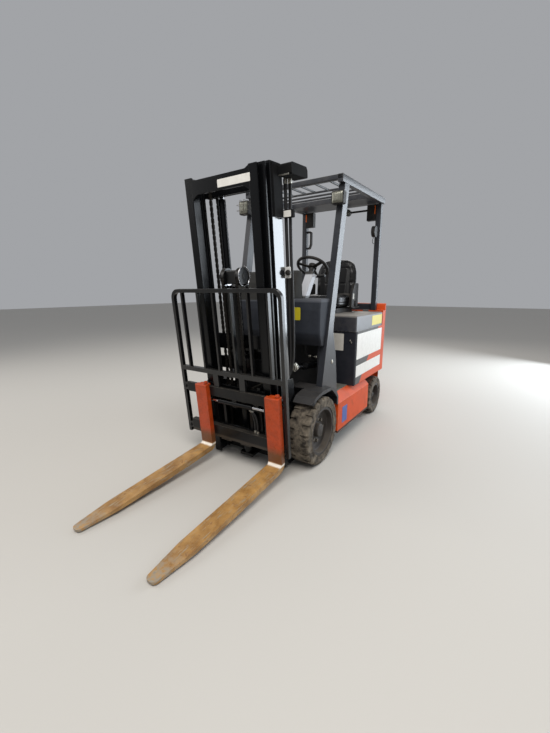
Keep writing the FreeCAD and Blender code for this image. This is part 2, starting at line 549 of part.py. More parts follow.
# Seat: a plinth with a rail and two hip wings, a cushion and a back with a rounded head
def seat():
    floor = S.hood_top
    base = box("seat_plinth", ("seat_x - 190", "seat_x + 190"), (880, 1300), ("hood_top", "hood_top + 46"))
    hips = []
    for sign in (-1, 1):
        hips.append(profile(f"hip_{sign}", "yz", [[
            (1100, floor + 50), (1100, floor + 182, 40), (1170, floor + 292, 60), (1275, floor + 292, 20),
            (1275, floor + 50)]],
            (f"seat_x + {sign} * (seat_half + 17) - 12", f"seat_x + {sign} * (seat_half + 17) + 12")))
    rail = box("seat_rail", ("seat_x - seat_half - 29", "seat_x + seat_half + 29"), (1130, 1326),
               ("hood_top + 38", "hood_top + 54"))
    node("seat_base", CHASSIS, [fuse("seat_base_body", [base, rail] + hips)])
    cushion = box("cushion_block", ("seat_x - seat_half", "seat_x + seat_half"), (835, 1275),
                  ("hood_top + 54.3", "hood_top + 174"))
    node("seat_cushion", CHASSIS, [rounded("cushion_round", cushion, 30, lambda edge: True)])
    back = profile("back_slab", "yz", [[
        (1240, floor + 176, 20), (1290, floor + 553, 30), (1352, floor + 553, 30), (1366, floor + 132, 20),
        (1322, floor + 54), (1282, floor + 54), (1282, floor + 176)]],
        ("seat_x - seat_half + 6", "seat_x + seat_half - 6"))
    outline = profile("back_front_view", "xz", [[
        (S.seat_x - S.seat_half, floor + 40), (S.seat_x - S.seat_half, floor + 420, 60),
        (S.seat_x - 176, floor + 560, 90), (S.seat_x + 176, floor + 560, 90), (S.seat_x + S.seat_half, floor + 420, 60),
        (S.seat_x + S.seat_half, floor + 40)]], (1200, 1400))
    shaped = doc.addObject("Part::Common", "back_shaped")
    shaped.Base = back
    shaped.Tool = outline
    node("seat_back", CHASSIS, [shaped])


# Mast rails: each stage is a pair of rolled sections with cross plates behind them
def section(front, outer, web_out, inward, outward_flange):
    """A rail's cross-section: flanges front and rear of one web, from X inward to outer."""
    rear = front + S.rail_depth
    thick = S.flange_thick
    web_in = web_out - S.rail_web
    return [(inward, front, 4), (outer, front, 4), (outer, front + thick), (web_out, front + thick, 6),
            (web_out, rear - thick, 6), (outward_flange, rear - thick), (outward_flange, rear, 4), (inward, rear, 4),
            (inward, rear - thick), (web_in, rear - thick, 6), (web_in, front + thick, 6), (inward, front + thick)]


OUTER_FRONT = -S.outer_front
MIDDLE_FRONT = OUTER_FRONT - S.rail_stagger
INNER_FRONT = MIDDLE_FRONT - S.rail_stagger
OUTER_IN = S.mast_outer_half - S.outer_flange
MIDDLE_WEB = OUTER_IN - S.web_gap
MIDDLE_IN = OUTER_IN - 28
INNER_WEB = MIDDLE_IN - S.web_gap
INNER_IN = INNER_WEB - 30


def cross_plate(name, half, y_rear_face, z, height=None):
    """A plate across a stage, against the rear faces of its rails."""
    return box(name, (-half, half), (y_rear_face, f"{y_rear_face} + cross_thick"),
               (z, f"{z} + {height or 'cross_height'}"))


def outer_mast():
    front = OUTER_FRONT
    rear = front + S.rail_depth
    half = S.mast_outer_half
    thick = S.flange_thick
    outline = [(OUTER_IN, front, 4), (half, front, 4), (half, rear, 4), (OUTER_IN, rear, 4),
               (OUTER_IN, rear - thick), (half - S.rail_web, rear - thick, 6), (half - S.rail_web, front + thick, 6),
               (OUTER_IN, front + thick)]
    rail = profile("outer_rail", "xy", [outline], ("rail_bottom", "rail_top"))
    plate = box("side_plate", ("mast_outer_half", "mast_outer_half + 9"), (rear - 64, rear + 40),
                ("rail_bottom + 6", 712))
    plate_round = rounded("side_plate_round", plate, 30, lambda edge: along(X_AXIS)(edge)
                          and edge.BoundBox.ZMin > 700)
    saddle = profile("saddle", "yz", [[
        (rear - 2, 150), (-20, 166, 60), (96, 186, 60), (96, 346, 70), (-20, 366, 60), (rear - 2, 380)]],
        ("mast_outer_half - 83", "mast_outer_half - 49"))
    saddle_hole = bar("saddle_hole", "x", ("0", "front_radius"), "axle_tube_radius + 2",
                      ("mast_outer_half - 90", "mast_outer_half - 40"))
    saddle_cut = cut("saddle_bored", saddle, [saddle_hole])
    bracket = profile("tilt_bracket", "yz", [[
        (rear - 4, S.eye_z - 35), (-S.eye_y, S.eye_z - 30, 28), (-S.eye_y + 28, S.eye_z, 20),
        (-S.eye_y, S.eye_z + 30, 28), (rear - 4, S.eye_z + 65)]], ("mast_outer_half - 57", "mast_outer_half - 46"))
    pin = bar("tilt_eye_pin", "x", (f"-eye_y", "eye_z"), "tilt_pin_radius",
              ("mast_outer_half - 50", "eye_x + 15"))
    clamp = box("barrel_block", ("lift_x - 22", "lift_x + 22"), (rear - 3, "-lift_y"), (740, 820))
    clamp_cut = cut("barrel_clamp", clamp, [bar("clamp_bore", "z", ("lift_x", "-lift_y"), "lift_radius", (730, 830))])
    ear = box("top_ear", (OUTER_IN - 24, OUTER_IN + 8), (rear - thick, -76), (1998, 2045))
    left = fuse("outer_left", [rail, plate_round, saddle_cut, bracket, pin, clamp_cut, ear])
    plates = [cross_plate(f"outer_cross_{k}", OUTER_IN, rear - thick, z) for k, z in enumerate((60, 730))]
    plates.append(box("outer_top_tie", (-OUTER_IN, OUTER_IN), (-90, -76), (1998, 2045)))
    plates.append(cross_plate("outer_saddle_plate", OUTER_IN, rear - thick, 158, 222))
    anchor = box("outer_anchor", ("chain_x - 16", "chain_x + 16"), (rear - 2, rear + 34), (780, 829))
    seat = box("barrel_seat", ("lift_x - 36", "lift_x + 30"), (rear - 3, "-lift_y + 26"), (100, 118))
    side_sheet = box("hose_sheet", ("mast_outer_half", "mast_outer_half + 12"), (rear - 106, rear - 8), (1800, 2100))
    hose_box = profile("hose_box", "yz", [[
        (rear - 45, 2030, 10), (rear - 45, 2095, 14), (-2, 2095, 14), (12, 2076, 14), (12, 2030, 10)]],
        ("mast_outer_half + 10", "mast_outer_half + 104"))
    whole = fuse("outer_body", [left, mirror("outer_right", left), anchor, mirror("outer_anchor_right", anchor),
                                seat, mirror("barrel_seat_right", seat), hose_box, side_sheet] + plates)
    return node("outer_rails", MAST, [whole])


def lift_barrels():
    barrel = bar("barrel", "z", ("lift_x", "-lift_y"), "lift_radius", (118, 1962))
    gland = bar("barrel_gland", "z", ("lift_x", "-lift_y"), "lift_radius + 1.5", (1930, 1975))
    bore = bar("barrel_bore", "z", ("lift_x", "-lift_y"), "lift_rod_radius + 1", (150, 1980))
    left = cut("barrel_left", fuse("barrel_whole", [barrel, gland]), [bore])
    return node("lift_barrels", MAST, [pair("barrel_pair", left)])


def chain_arc(name, inner, outer):
    """Half a ring of chain over a sheave, drawn about its centre."""
    ring = turned(name + "_ring", "x", [
        (-S.chain_width / 2, inner), (S.chain_width / 2, inner), (S.chain_width / 2, outer), (-S.chain_width / 2, outer)])
    lower = box(name + "_lower", (-50, 50), (-100, 100), (-100, 0))
    return cut(name, ring, [lower])


def middle_mast():
    front = MIDDLE_FRONT
    rear = front + S.rail_depth
    outline = section(front, MIDDLE_IN + S.middle_flange, MIDDLE_WEB, MIDDLE_IN,
                      S.mast_outer_half - S.rail_web - 6)
    rail = profile("middle_rail", "xy", [outline], ("rail_bottom + 8", "rail_top - 8"))
    cheeks = [box(f"sheave_cheek_{k}", (x, x + 8), (rear, rear + 48), (1980, 2066))
              for k, x in enumerate((S.chain_x - 25, S.chain_x + 17))]
    pin = bar("rear_sheave_pin", "x", (rear + 25, 2036), 10, ("chain_x - 25", "chain_x + 25"))
    wheel = bar("rear_sheave", "x", (rear + 25, 2036), 29, ("chain_x - 13", "chain_x + 13"))
    arc = chain_arc("rear_chain_arc", 29, 42)
    arc_at = moved("rear_chain_arc_at", arc, S.chain_x, rear + 25, 2036)
    head = box("rod_head", ("lift_x - 24", "lift_x + 24"), (rear, "-lift_y + 20"), (2050, 2072))
    left = fuse("middle_left", [rail, pin, wheel, arc_at, head] + cheeks)
    plates = [cross_plate(f"middle_cross_{k}", MIDDLE_WEB, rear, z) for k, z in enumerate((60, 900))]
    plates.append(cross_plate("middle_top_tie", MIDDLE_WEB, rear, 1985, 60))
    plates.append(box("middle_top_tie_2", ("-chain_x + 20", "chain_x - 20"), (rear, rear + 14), (2040, 2072)))
    return node("middle_rails", MAST, [fuse("middle_body", [left, mirror("middle_right", left)] + plates)])


def lift_rods():
    rod = bar("lift_rod", "z", ("lift_x", "-lift_y"), "lift_rod_radius", (170, 2050))
    return node("lift_rods", MAST, [pair("lift_rod_pair", rod)])


def inner_mast():
    front = INNER_FRONT
    rear = front + S.rail_depth
    outline = section(front, INNER_IN + S.inner_flange, INNER_WEB, INNER_IN, MIDDLE_WEB - S.rail_web - 6)
    rail = profile("inner_rail", "xy", [outline], ("rail_bottom + 16", "rail_top - 14"))
    top = S.rail_top - 14
    tie = profile("top_tie", "xz", [[
        (-INNER_IN - 2, top - 140), (-INNER_IN + 40, top - 107, 60), (INNER_IN - 40, top - 107, 60),
        (INNER_IN + 2, top - 140), (INNER_IN + 2, top - 4),
        (INNER_IN - 26, top - 19, 40), (-INNER_IN + 26, top - 19, 40), (-INNER_IN - 2, top - 4)]],
        (front, front + 12))
    plates = [cross_plate("inner_cross_0", INNER_WEB, rear, 60, 120), cross_plate("inner_cross_1", INNER_WEB, rear, 930)]
    foot = box("free_barrel_foot", (-60, 60), ("-free_y - free_radius - 4", rear + 2), (62, 86))
    brace = box("free_barrel_brace", (-24, 24), ("-free_y + free_radius - 2", rear + 2), (950, 1000))
    brace_cut = cut("brace_cut", brace, [bar("brace_bore", "z", ("0", "-free_y"), "free_radius", (900, 1100))])
    anchor = box("rear_chain_anchor", ("chain_x - 14", "chain_x + 14"), (rear, rear + 29.5), (120, 159))
    anchor_2 = box("front_chain_anchor", ("front_chain_x - 14", "front_chain_x + 14"), (rear - 1, rear + 15),
                   (1030, 1066))
    whole = fuse("inner_body", [rail, mirror("inner_right", rail), tie, foot, brace_cut, anchor,
                                mirror("anchor_right", anchor), anchor_2, mirror("anchor_2_right", anchor_2)] + plates)
    return node("inner_rails", MAST, [whole])


def free_lift():
    barrel = bar("free_barrel", "z", ("0", "-free_y"), "free_radius - 0.2", (86, 1355))
    gland = bar("free_gland", "z", ("0", "-free_y"), "free_radius + 3", (1325, 1368))
    bore = bar("free_bore", "z", ("0", "-free_y"), "free_rod_radius + 1", (120, 1380))
    node("free_lift_barrel", MAST, [cut("free_barrel_cut", fuse("free_whole", [barrel, gland]), [bore])])
    rod = bar("free_rod", "z", ("0", "-free_y"), "free_rod_radius", (640, "crosshead_z - 40"))
    block = box("crosshead_block", (-44, 44), ("-free_y - 34", "-free_y + 34"),
                ("crosshead_z - 48", "crosshead_z + 44"))
    block_round = rounded("crosshead_round", block, 10, along(X_AXIS))
    pin = bar("crosshead_pin", "x", ("-free_y", "crosshead_z"), 13, ("-front_chain_x - 20", "front_chain_x + 20"))
    wheels = []
    for sign in (-1, 1):
        wheel = turned(f"front_sheave_{sign}", "x", [
            (-S.sheave_width / 2, 0), (-S.sheave_width / 2, S.sheave_radius), (-S.sheave_width / 2 + 3, S.sheave_radius),
            (-S.sheave_width / 2 + 3, S.sheave_radius - 14.5), (S.sheave_width / 2 - 3, S.sheave_radius - 14.5),
            (S.sheave_width / 2 - 3, S.sheave_radius), (S.sheave_width / 2, S.sheave_radius), (S.sheave_width / 2, 0)])
        wheels.append(moved(f"front_sheave_at_{sign}", wheel, sign * S.front_chain_x, -S.free_y, S.crosshead_z))
        arc = chain_arc(f"front_chain_arc_{sign}", S.sheave_radius - 15, S.sheave_radius - 2)
        wheels.append(moved(f"front_chain_arc_at_{sign}", arc, sign * S.front_chain_x, -S.free_y, S.crosshead_z))
    node("crosshead", MAST, [fuse("crosshead_body", [rod, block_round, pin] + wheels)])


# Carriage: plates in front of the inner rails, arms between them and rollers in their channels
def carriage():
    back = INNER_FRONT - 5
    front = back - S.carriage_thick
    half = INNER_IN - 13
    upper = box("carriage_upper", (-half - 40, half + 40), (front, back), (560, 668))
    lower = box("carriage_lower", (-half - 40, half + 40), (front, back), (238, 340))
    arm = profile("carriage_arm", "yz", [[
        (front, 232), (back + 30, 232), (INNER_FRONT + 108, 262, 30), (INNER_FRONT + 108, 352, 30),
        (INNER_FRONT + 60, 400, 20), (INNER_FRONT + 60, 520, 20), (INNER_FRONT + 108, 560, 30),
        (INNER_FRONT + 108, 660, 30), (back + 30, 690), (front, 690)]], (half - 24, half))
    rollers = []
    for k, z in enumerate((306, 612)):
        rollers.append(bar(f"roller_{k}", "x", (INNER_FRONT + S.rail_depth / 2, z), "roller_radius",
                           (half + 3, half + 21)))
        rollers.append(bar(f"roller_pin_{k}", "x", (INNER_FRONT + S.rail_depth / 2, z), 15, (half - 10, half + 22)))
    left = fuse("carriage_left", [arm] + rollers)
    centre = box("carriage_rib", (-half * 0.62, -half * 0.62 + 24), (front, back), (300, 600))
    anchor = box("carriage_anchor", ("front_chain_x - 14", "front_chain_x + 14"), (back - 2, "-free_y - sheave_radius + 14"),
                 (610, 650))
    whole = fuse("carriage_body", [left, mirror("carriage_right", left), upper, lower, centre,
                                   mirror("carriage_rib_right", centre), anchor, mirror("carriage_anchor_2", anchor)])
    node("carriage_plates", MAST, [whole])
    shelf = box("shift_saddle", (-20, 20), (front - 30, front), (512, 575))
    barrel = bar("shift_barrel", "x", ("-fork_face + fork_thick + 22", "shift_z"), 20, (-150, 160))
    caps = [bar(f"shift_cap_{k}", "x", ("-fork_face + fork_thick + 22", "shift_z"), 21.5, (x, x + 22))
            for k, x in enumerate((-152, 140))]
    bore = bar("shift_bore", "x", ("-fork_face + fork_thick + 22", "shift_z"), "shift_rod_radius + 1", (-160, 170))
    node("shift_cylinder", MAST, [cut("shift_cut", fuse("shift_whole", [shelf, barrel] + caps), [bore])])


# Shifter: two fork bars with end plates, the side-shift rod between them
def shifter():
    front = -(S.fork_face - S.fork_thick)
    back = INNER_FRONT - 5 - S.carriage_thick - 4
    low, high = "shift - shifter_half", "shift + shifter_half"
    upper = profile("upper_bar", "yz", [[
        (front, S.upper_bar_top - S.bar_height), (front, S.upper_bar_top), (front + 22, S.upper_bar_top),
        (back, S.upper_bar_top - 16), (back, S.upper_bar_top - S.bar_height)]], (low, high))
    lower = profile("lower_bar", "yz", [[
        (front, S.lower_bar_bottom + S.low_bar_height), (back, S.lower_bar_bottom + S.low_bar_height),
        (back, S.lower_bar_bottom + 16), (front + 22, S.lower_bar_bottom), (front, S.lower_bar_bottom)]], (low, high))
    plates = []
    for k, x in enumerate((-345, 305)):
        plates.append(box(f"shifter_end_{k}", (f"shift + {x}", f"shift + {x + 40}"), (front + 4, back),
                          ("lower_bar_bottom + 40", "upper_bar_top - 40")))
    rod = bar("shift_rod", "x", ("-fork_face + fork_thick + 22", "shift_z"), "shift_rod_radius",
              ("shift - 320", "shift + 320"))
    cleats = [box(f"lower_cleat_{k}", (f"shift + {x}", f"shift + {x + 100}"), (front + 8, back),
                  ("lower_bar_bottom - 18", "lower_bar_bottom + 30")) for k, x in enumerate((-130, 60))]
    node("shifter_frame", MAST, [fuse("shifter_body", [upper, lower, rod] + plates + cleats)])


# Load backrest: a bent top bar, posts that run down beside the forks, bars and a lower rail
def backrest():
    front = -(S.fork_face - S.fork_thick) + 8
    back = front + S.backrest_depth
    half = S.backrest_half
    top = S.backrest_top
    wide = 26
    hoop = profile("hoop", "xz", [[
        (S.shift - half, S.backrest_foot), (S.shift - half, top, 70), (S.shift + half, top, 70),
        (S.shift + half, S.backrest_foot), (S.shift + half - wide, S.backrest_foot),
        (S.shift + half - wide, top - wide, 48), (S.shift - half + wide, top - wide, 48),
        (S.shift - half + wide, S.backrest_foot)]], (front, back))
    rail = box("backrest_rail", ("shift - backrest_half + 5", "shift + backrest_half - 5"), (front, back),
               ("backrest_rail_z", "backrest_rail_z + 34"))
    bars = [box(f"backrest_bar_{k}", (f"shift + {x - 7}", f"shift + {x + 7}"), (front, back),
                ("backrest_rail_z + 10", top - 12)) for k, x in enumerate((-385, -225, -80, 80, 225, 385))]
    feet = []
    for k, x in enumerate((-half, half - 62)):
        feet.append(box(f"backrest_foot_{k}", (f"shift + {x}", f"shift + {x + 62}"), (front, back),
                        ("upper_bar_top - 70", "upper_bar_top - 10")))
        feet.append(box(f"backrest_toe_{k}", (f"shift + {x}", f"shift + {x + 62}"), (front, back),
                        ("lower_bar_bottom + 12", "lower_bar_bottom + 60")))
    legs = [box(f"backrest_leg_{k}", (f"shift + {x}", f"shift + {x + 50}"), (front, front + 20),
                ("upper_bar_top", "backrest_rail_z + 10")) for k, x in enumerate((-150, 100))]
    node("load_backrest", MAST, [fuse("backrest_body", [hoop, rail] + bars + feet + legs)])


# A fork: an L profile with a round heel, tapered towards a chamfered tip, hooked on both bars
def fork(name, x):
    front = -S.fork_face
    back = front + S.fork_thick
    heel = S.fork_heel
    under = heel - S.fork_thick
    tip = front - S.fork_length
    outline = [
        (back - 0.4, under, 60), (back - 0.4, heel + S.fork_shank, 6), (front, heel + S.fork_shank, 8),
        (front, heel, 22),
        (tip, heel, 3), (tip, heel - S.tip_thick, 3), (tip + 620, under)]
    side = profile(name + "_profile", "yz", [outline],
                   (f"{x} - fork_width / 2", f"{x} + fork_width / 2"))
    plan = profile(name + "_plan", "xy", [[
        (S.__dict__[x] - S.fork_width / 2, back + 30), (S.__dict__[x] - S.fork_width / 2, tip + 230, 300),
        (S.__dict__[x] - 32, tip, 26), (S.__dict__[x] + 32, tip, 26), (S.__dict__[x] + S.fork_width / 2, tip + 230, 300),
        (S.__dict__[x] + S.fork_width / 2, back + 30)]], (under - 20, heel + S.fork_shank + 20))
    body = doc.addObject("Part::Common", name + "_body")
    body.Base = side
    body.Tool = plan
    hooks = [box(f"{name}_hook_{k}", (f"{x} - 44", f"{x} + 44"), (back - 2, back + 24), (low, high))
             for k, (low, high) in enumerate((("lower_bar_bottom - 15", "lower_bar_bottom - 0.5"),
                                              ("upper_bar_top + 0.5", "upper_bar_top + 13")))]
    node(name, MAST, [fuse(name + "_whole", [body] + hooks)])


# Wheels: each rim is turned as one dish with a hub, each tyre as a ring with round shoulders
def wheel(name, sign, x, y, radius, width, rim_radius, hub_radius, hub_gap):
    half = width / 2
    dish = [(-half + hub_gap, 0), (-half + hub_gap, hub_radius), (half - 84, hub_radius), (half - 78, rim_radius - 32, 10),
            (-half + 5, rim_radius - 18, 8), (-half + 5, rim_radius - 0.1), (half - 5, rim_radius - 0.1),
            (half - 5, rim_radius - 22), (half - 52, rim_radius - 30, 12), (half - 62, hub_radius + 14, 16),
            (half - 62, hub_radius - 30), (half - 26, hub_radius - 36, 8), (half - 20, 0)]
    rim = turned(name + "_dish", "x", dish)
    ring = turned(name + "_ring", "x", [
        (-half, rim_radius), (-half, radius - 16, 14), (-half + 16, radius, 10), (half - 16, radius, 10),
        (half, radius - 16, 14), (half, rim_radius)])
    turn = Rotation(Z_AXIS, 0 if sign > 0 else 180)
    node(name + "_rim", CHASSIS, [moved(name + "_rim_at", rim, sign * x, y, radius, turn)])
    node(name + "_tyre", CHASSIS, [moved(name + "_tyre_at", ring, sign * x, y, radius, turn)])


def knuckle(name, sign):
    inner = S.rear_wheel_x - S.rear_tyre_width / 2
    sleeve = bar(name + "_sleeve", "z", (0, 0), 30, (131, 299))
    arm = bar(name + "_spindle", "x", (0, "rear_radius"), 28, (0, inner - S.kingpin_x + 8))
    body = cut(name + "_bored", fuse(name + "_solid", [sleeve, arm]),
               [bar(name + "_bore", "z", (0, 0), "kingpin_radius + 0.05", (120, 310))])
    turn = Rotation(Z_AXIS, 0 if sign > 0 else 180)
    node(name, CHASSIS, [moved(name + "_at", body, sign * S.kingpin_x, S.wheelbase, 0, turn)])


# Tilt cylinders, drawn along +X from the rear pin, then turned towards the mast's eye
EYE_Y, EYE_Z = leaned(-S.eye_y, S.eye_z)
TILT_LENGTH = math.hypot(EYE_Y - S.tilt_pivot_y, EYE_Z - S.tilt_pivot_z)
TILT_ANGLE = math.degrees(math.atan2(EYE_Z - S.tilt_pivot_z, S.tilt_pivot_y - EYE_Y))
TILT_STROKE = 101
EYE_CLEAR = 0.9


def tilt_cylinder(name, sign):
    length = TILT_LENGTH
    retracted = length - TILT_STROKE
    barrel_end = retracted - S.eye_radius - 14
    boss = bar(name + "_boss", "z", (0, 0), "eye_radius", (-13, 13))
    tube = bar(name + "_tube", "x", (0, 0), "tilt_barrel_radius", (24, barrel_end))
    gland = bar(name + "_gland", "x", (0, 0), "tilt_barrel_radius + 3", (barrel_end - 20, barrel_end))
    bore = bar(name + "_bore", "x", (0, 0), "tilt_rod_radius + 1", (30, barrel_end + 5))
    hole = bar(name + "_hole", "z", (0, 0), "tilt_pin_radius + 0.05", (-20, 20))
    barrel = cut(name + "_barrel_body", fuse(name + "_barrel_whole", [boss, tube, gland]), [bore, hole])
    rod = bar(name + "_rod_bar", "x", (0, 0), "tilt_rod_radius", (length - retracted + 34, length - 16))
    eye = bar(name + "_eye", "z", (length, 0), "eye_radius - 2", (-12, 12))
    eye_hole = bar(name + "_eye_hole", "z", (length, 0), f"tilt_pin_radius + {EYE_CLEAR}", (-20, 20))
    rod_whole = cut(name + "_rod_body", fuse(name + "_rod_whole", [rod, eye]), [eye_hole])
    toward = Rotation(Vector(0, -math.cos(math.radians(TILT_ANGLE)), math.sin(math.radians(TILT_ANGLE))),
                      Vector(0, math.sin(math.radians(TILT_ANGLE)), math.cos(math.radians(TILT_ANGLE))),
                      Vector(1, 0, 0), "XZY")
    place = (sign * S.eye_x, S.tilt_pivot_y, S.tilt_pivot_z, toward)
    node(name + "_barrel", CHASSIS, [moved(name + "_barrel_at", barrel, *place)])
    node(name + "_rod", CHASSIS, [moved(name + "_rod_at", rod_whole, *place)])


def steering_wheel():
    rim = doc.addObject("Part::Torus", "wheel_rim")
    bind(rim, "Radius1", "wheel_radius")
    rim.Radius2 = 13
    hub = bar("wheel_hub", "z", (0, 0), 38, (0, 30))
    spokes = []
    for k in range(3):
        spoke = box(f"wheel_spoke_{k}", (20, "wheel_radius - 4"), (-14, 14), (4, 12))
        spokes.append(moved(f"wheel_spoke_at_{k}", spoke, 0, 0, 0, Rotation(Z_AXIS, 90 + 120 * k)))
    dished = moved("wheel_rim_up", rim, 0, 0, 12)
    whole = fuse("wheel_whole", [dished, hub] + spokes)
    node("steering_wheel", CHASSIS, [moved("wheel_at", whole, S.wheel_x, S.wheel_y, S.wheel_z, WHEEL_AXIS)])


# Chains: straight strands on the stages that carry them
def strand(name, x, y, z_low, z_high):
    left = box(name + "_left", (x - S.chain_width / 2, x + S.chain_width / 2),
               (y - S.chain_thick / 2, y + S.chain_thick / 2), (z_low, z_high))
    node(name, MAST, [pair(name + "_pair", left)])


frame()
floor()
fenders()
pillars()
cowl()
controls()
drive_axle()
steer_axle()
counterweight()
battery()
battery_panels()
roof()
fittings()
hood()
seat()
outer_mast()
lift_barrels()
middle_mast()
lift_rods()
inner_mast()
free_lift()
carriage()
shifter()
backrest()
fork("fork_left", "left_fork_x")
fork("fork_right", "right_fork_x")
wheel("front_left", 1, S.front_wheel_x, 0, S.front_radius, S.front_tyre_width, S.front_rim_radius, 86, 0.3)
wheel("front_right", -1, S.front_wheel_x, 0, S.front_radius, S.front_tyre_width, S.front_rim_radius, 86, 0.3)
wheel("rear_left", 1, S.rear_wheel_x, S.wheelbase, S.rear_radius, S.rear_tyre_width, S.rear_rim_radius, 60, 8.3)
wheel("rear_right", -1, S.rear_wheel_x, S.wheelbase, S.rear_radius, S.rear_tyre_width, S.rear_rim_radius, 60, 8.3)
knuckle("knuckle_left", 1)
knuckle("knuckle_right", -1)
tilt_cylinder("tilt_left", 1)
tilt_cylinder("tilt_right", -1)
steering_wheel()
MIDDLE_REAR = MIDDLE_FRONT + S.rail_depth
INNER_REAR = INNER_FRONT + S.rail_depth
strand("chain_outer_middle", S.chain_x, MIDDLE_REAR + 25 + 36, 829, 2036)
strand("chain_middle_inner", S.chain_x, MIDDLE_REAR + 25 - 36, 160, 2036)
strand("chain_inner_crosshead", S.front_chain_x, -S.free_y + S.sheave_radius - 8, 1066, S.crosshead_z)
strand("chain_crosshead_carriage", S.front_chain_x, -S.free_y - S.sheave_radius + 8, 650, S.crosshead_z)

doc.recompute()
failed = [thing.Name for thing in doc.Objects if "Invalid" in thing.State or "Error" in thing.State]
assert not failed, failed
for thing in NODES:
    assert not thing.Shape.isNull() and thing.Shape.isValid(), thing.Label

os.makedirs("parts", exist_ok=True)
for thing in NODES:
    thing.Shape.exportStep(f"parts/{thing.Label}.step")
    print(thing.Label, len(thing.Shape.Solids), round(thing.Shape.Volume / 1e6, 3))
print("fork tip", round(TIP_Y, 1), round(TIP_Z, 1), "shift", round(SHIFT_Y, 2), "tilt length", round(TILT_LENGTH, 2))
print("tilt angle", round(TILT_ANGLE, 3), "eye", round(EYE_Y, 2), round(EYE_Z, 2))
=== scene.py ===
# %% [markdown]
# # A parked electric forklift
# This notebook dresses a jointed CAD model of an electric counterbalance
# forklift. The steelwork is already modelled; here it gets its paint, dirt and
# wear, and the thin things that a workshop would fit last: hoses, chains,
# bolts, plates, tread and upholstery.

# %% Load the frame
import math

import bmesh
import bpy
import numpy as np
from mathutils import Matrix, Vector


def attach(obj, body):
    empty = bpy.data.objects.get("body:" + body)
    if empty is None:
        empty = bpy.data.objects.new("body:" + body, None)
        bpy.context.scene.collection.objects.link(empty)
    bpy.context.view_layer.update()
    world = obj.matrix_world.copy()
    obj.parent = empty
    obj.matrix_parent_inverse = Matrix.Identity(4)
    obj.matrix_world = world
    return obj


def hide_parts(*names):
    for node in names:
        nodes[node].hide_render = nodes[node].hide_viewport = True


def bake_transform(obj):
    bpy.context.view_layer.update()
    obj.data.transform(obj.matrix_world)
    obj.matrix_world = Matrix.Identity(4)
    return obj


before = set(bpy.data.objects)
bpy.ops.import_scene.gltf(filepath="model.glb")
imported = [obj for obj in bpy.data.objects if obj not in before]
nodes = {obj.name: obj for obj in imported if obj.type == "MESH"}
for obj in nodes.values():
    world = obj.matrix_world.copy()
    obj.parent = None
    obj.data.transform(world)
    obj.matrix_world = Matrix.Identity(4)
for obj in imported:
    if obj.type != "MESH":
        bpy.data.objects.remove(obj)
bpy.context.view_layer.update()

# %% [markdown]
# ## Where things are
# All sizes below are in millimetres from the drawing: chassis pieces count from
# the front axle, and mast pieces from an upright mast. Two small functions turn
# both into the frame's metres, so that no piece is placed by eye. The mast
# leans forward by a few degrees about the front axle.

# %% Frame positions
AXLE_SHIFT = -105.78
MAST_LEAN = math.radians(5.5)
MAST_PIVOT_Z = 266.5


def chassis(points):
    """Chassis millimetres to frame metres: a shift along Y."""
    points = np.asarray(points, float)
    return (points + np.array([0, AXLE_SHIFT, 0])) / 1000


def turned_about_x(points, angle, pivot_y, pivot_z):
    """Points turned about a line along X: y cos - z sin and y sin + z cos, counted from the pivot."""
    points = np.asarray(points, float)
    y, z = points[..., 1] - pivot_y, points[..., 2] - pivot_z
    c, s = math.cos(angle), math.sin(angle)
    return np.stack([points[..., 0], y * c - z * s + pivot_y, y * s + z * c + pivot_z], -1)


def mast(points):
    """Mast millimetres to frame metres: leant forward about the axle, then the shift."""
    return chassis(turned_about_x(points, MAST_LEAN, 0, MAST_PIVOT_Z))


UP = mast([0, 0, 1000.0]) - mast([0, 0, 0.0])
MAST_BACK = mast([0, 1000.0, 0]) - mast([0, 0.0, 0])
print("mast slides along", np.round(UP, 4))

# %% [markdown]
# ## Colours and nodes
# Colours are written as the hex values that a paint chart gives, which are
# sRGB. Blender's shaders want linear light, so one function converts them. One
# other function adds a shader node with its settings and links, and every
# material below is made with it.


# %% Colour
def linear(hex_value):
    """An sRGB hex colour as linear red, green, blue and alpha."""
    channels = np.array([int(hex_value[k:k + 2], 16) for k in (1, 3, 5)]) / 255
    low = channels / 12.92
    high = ((channels + 0.055) / 1.055) ** 2.4
    return (*np.where(channels <= 0.04045, low, high), 1.0)


def shade(colour, share):
    """A linear colour made darker or lighter by a share, and never past white."""
    return (*(min(channel * share, 1) for channel in colour[:3]), 1.0)


print("mid grey as light:", round(float(linear("#808080")[0]), 3))


# %% Nodes
def fill(material, node, values):
    """Fill a node's inputs: the output of another node is linked, and a number or colour is set."""
    for socket, value in values.items():
        if isinstance(value, bpy.types.NodeSocket):
            material.node_tree.links.new(value, node.inputs[socket])
        else:
            node.inputs[socket].default_value = value


def add(material, kind, values, **settings):
    """Add one node with its settings, and fill its inputs."""
    made = material.node_tree.nodes.new(kind)
    for name, setting in settings.items():
        setattr(made, name, setting)
    fill(material, made, values)
    return made


def start(name, rough, metallic=0.0, **sockets):
    """A new material, its Principled shader with these values, and the Object coordinate in metres."""
    material = bpy.data.materials.new(name)
    material.use_nodes = True
    shader = material.node_tree.nodes["Principled BSDF"]
    fill(material, shader, {"Roughness": rough, "Metallic": metallic})
    fill(material, shader, {key.replace("_", " "): value for key, value in sockets.items()})
    return material, shader, add(material, "ShaderNodeTexCoord", {}).outputs["Object"]


# %% [markdown]
# ## Dirt, coats and grain
# Dirt and wear are never even. A noise texture gives cloudy values by place, and
# a Map Range node turns them into a share: nothing below one value, all above
# another. Coats of colour are then laid over each other, each by its share, as
# the real ones are. A fine relief tilts the light on the surface, and the Bevel
# node in it rounds the sharp edges of the solids a little, as paint does.


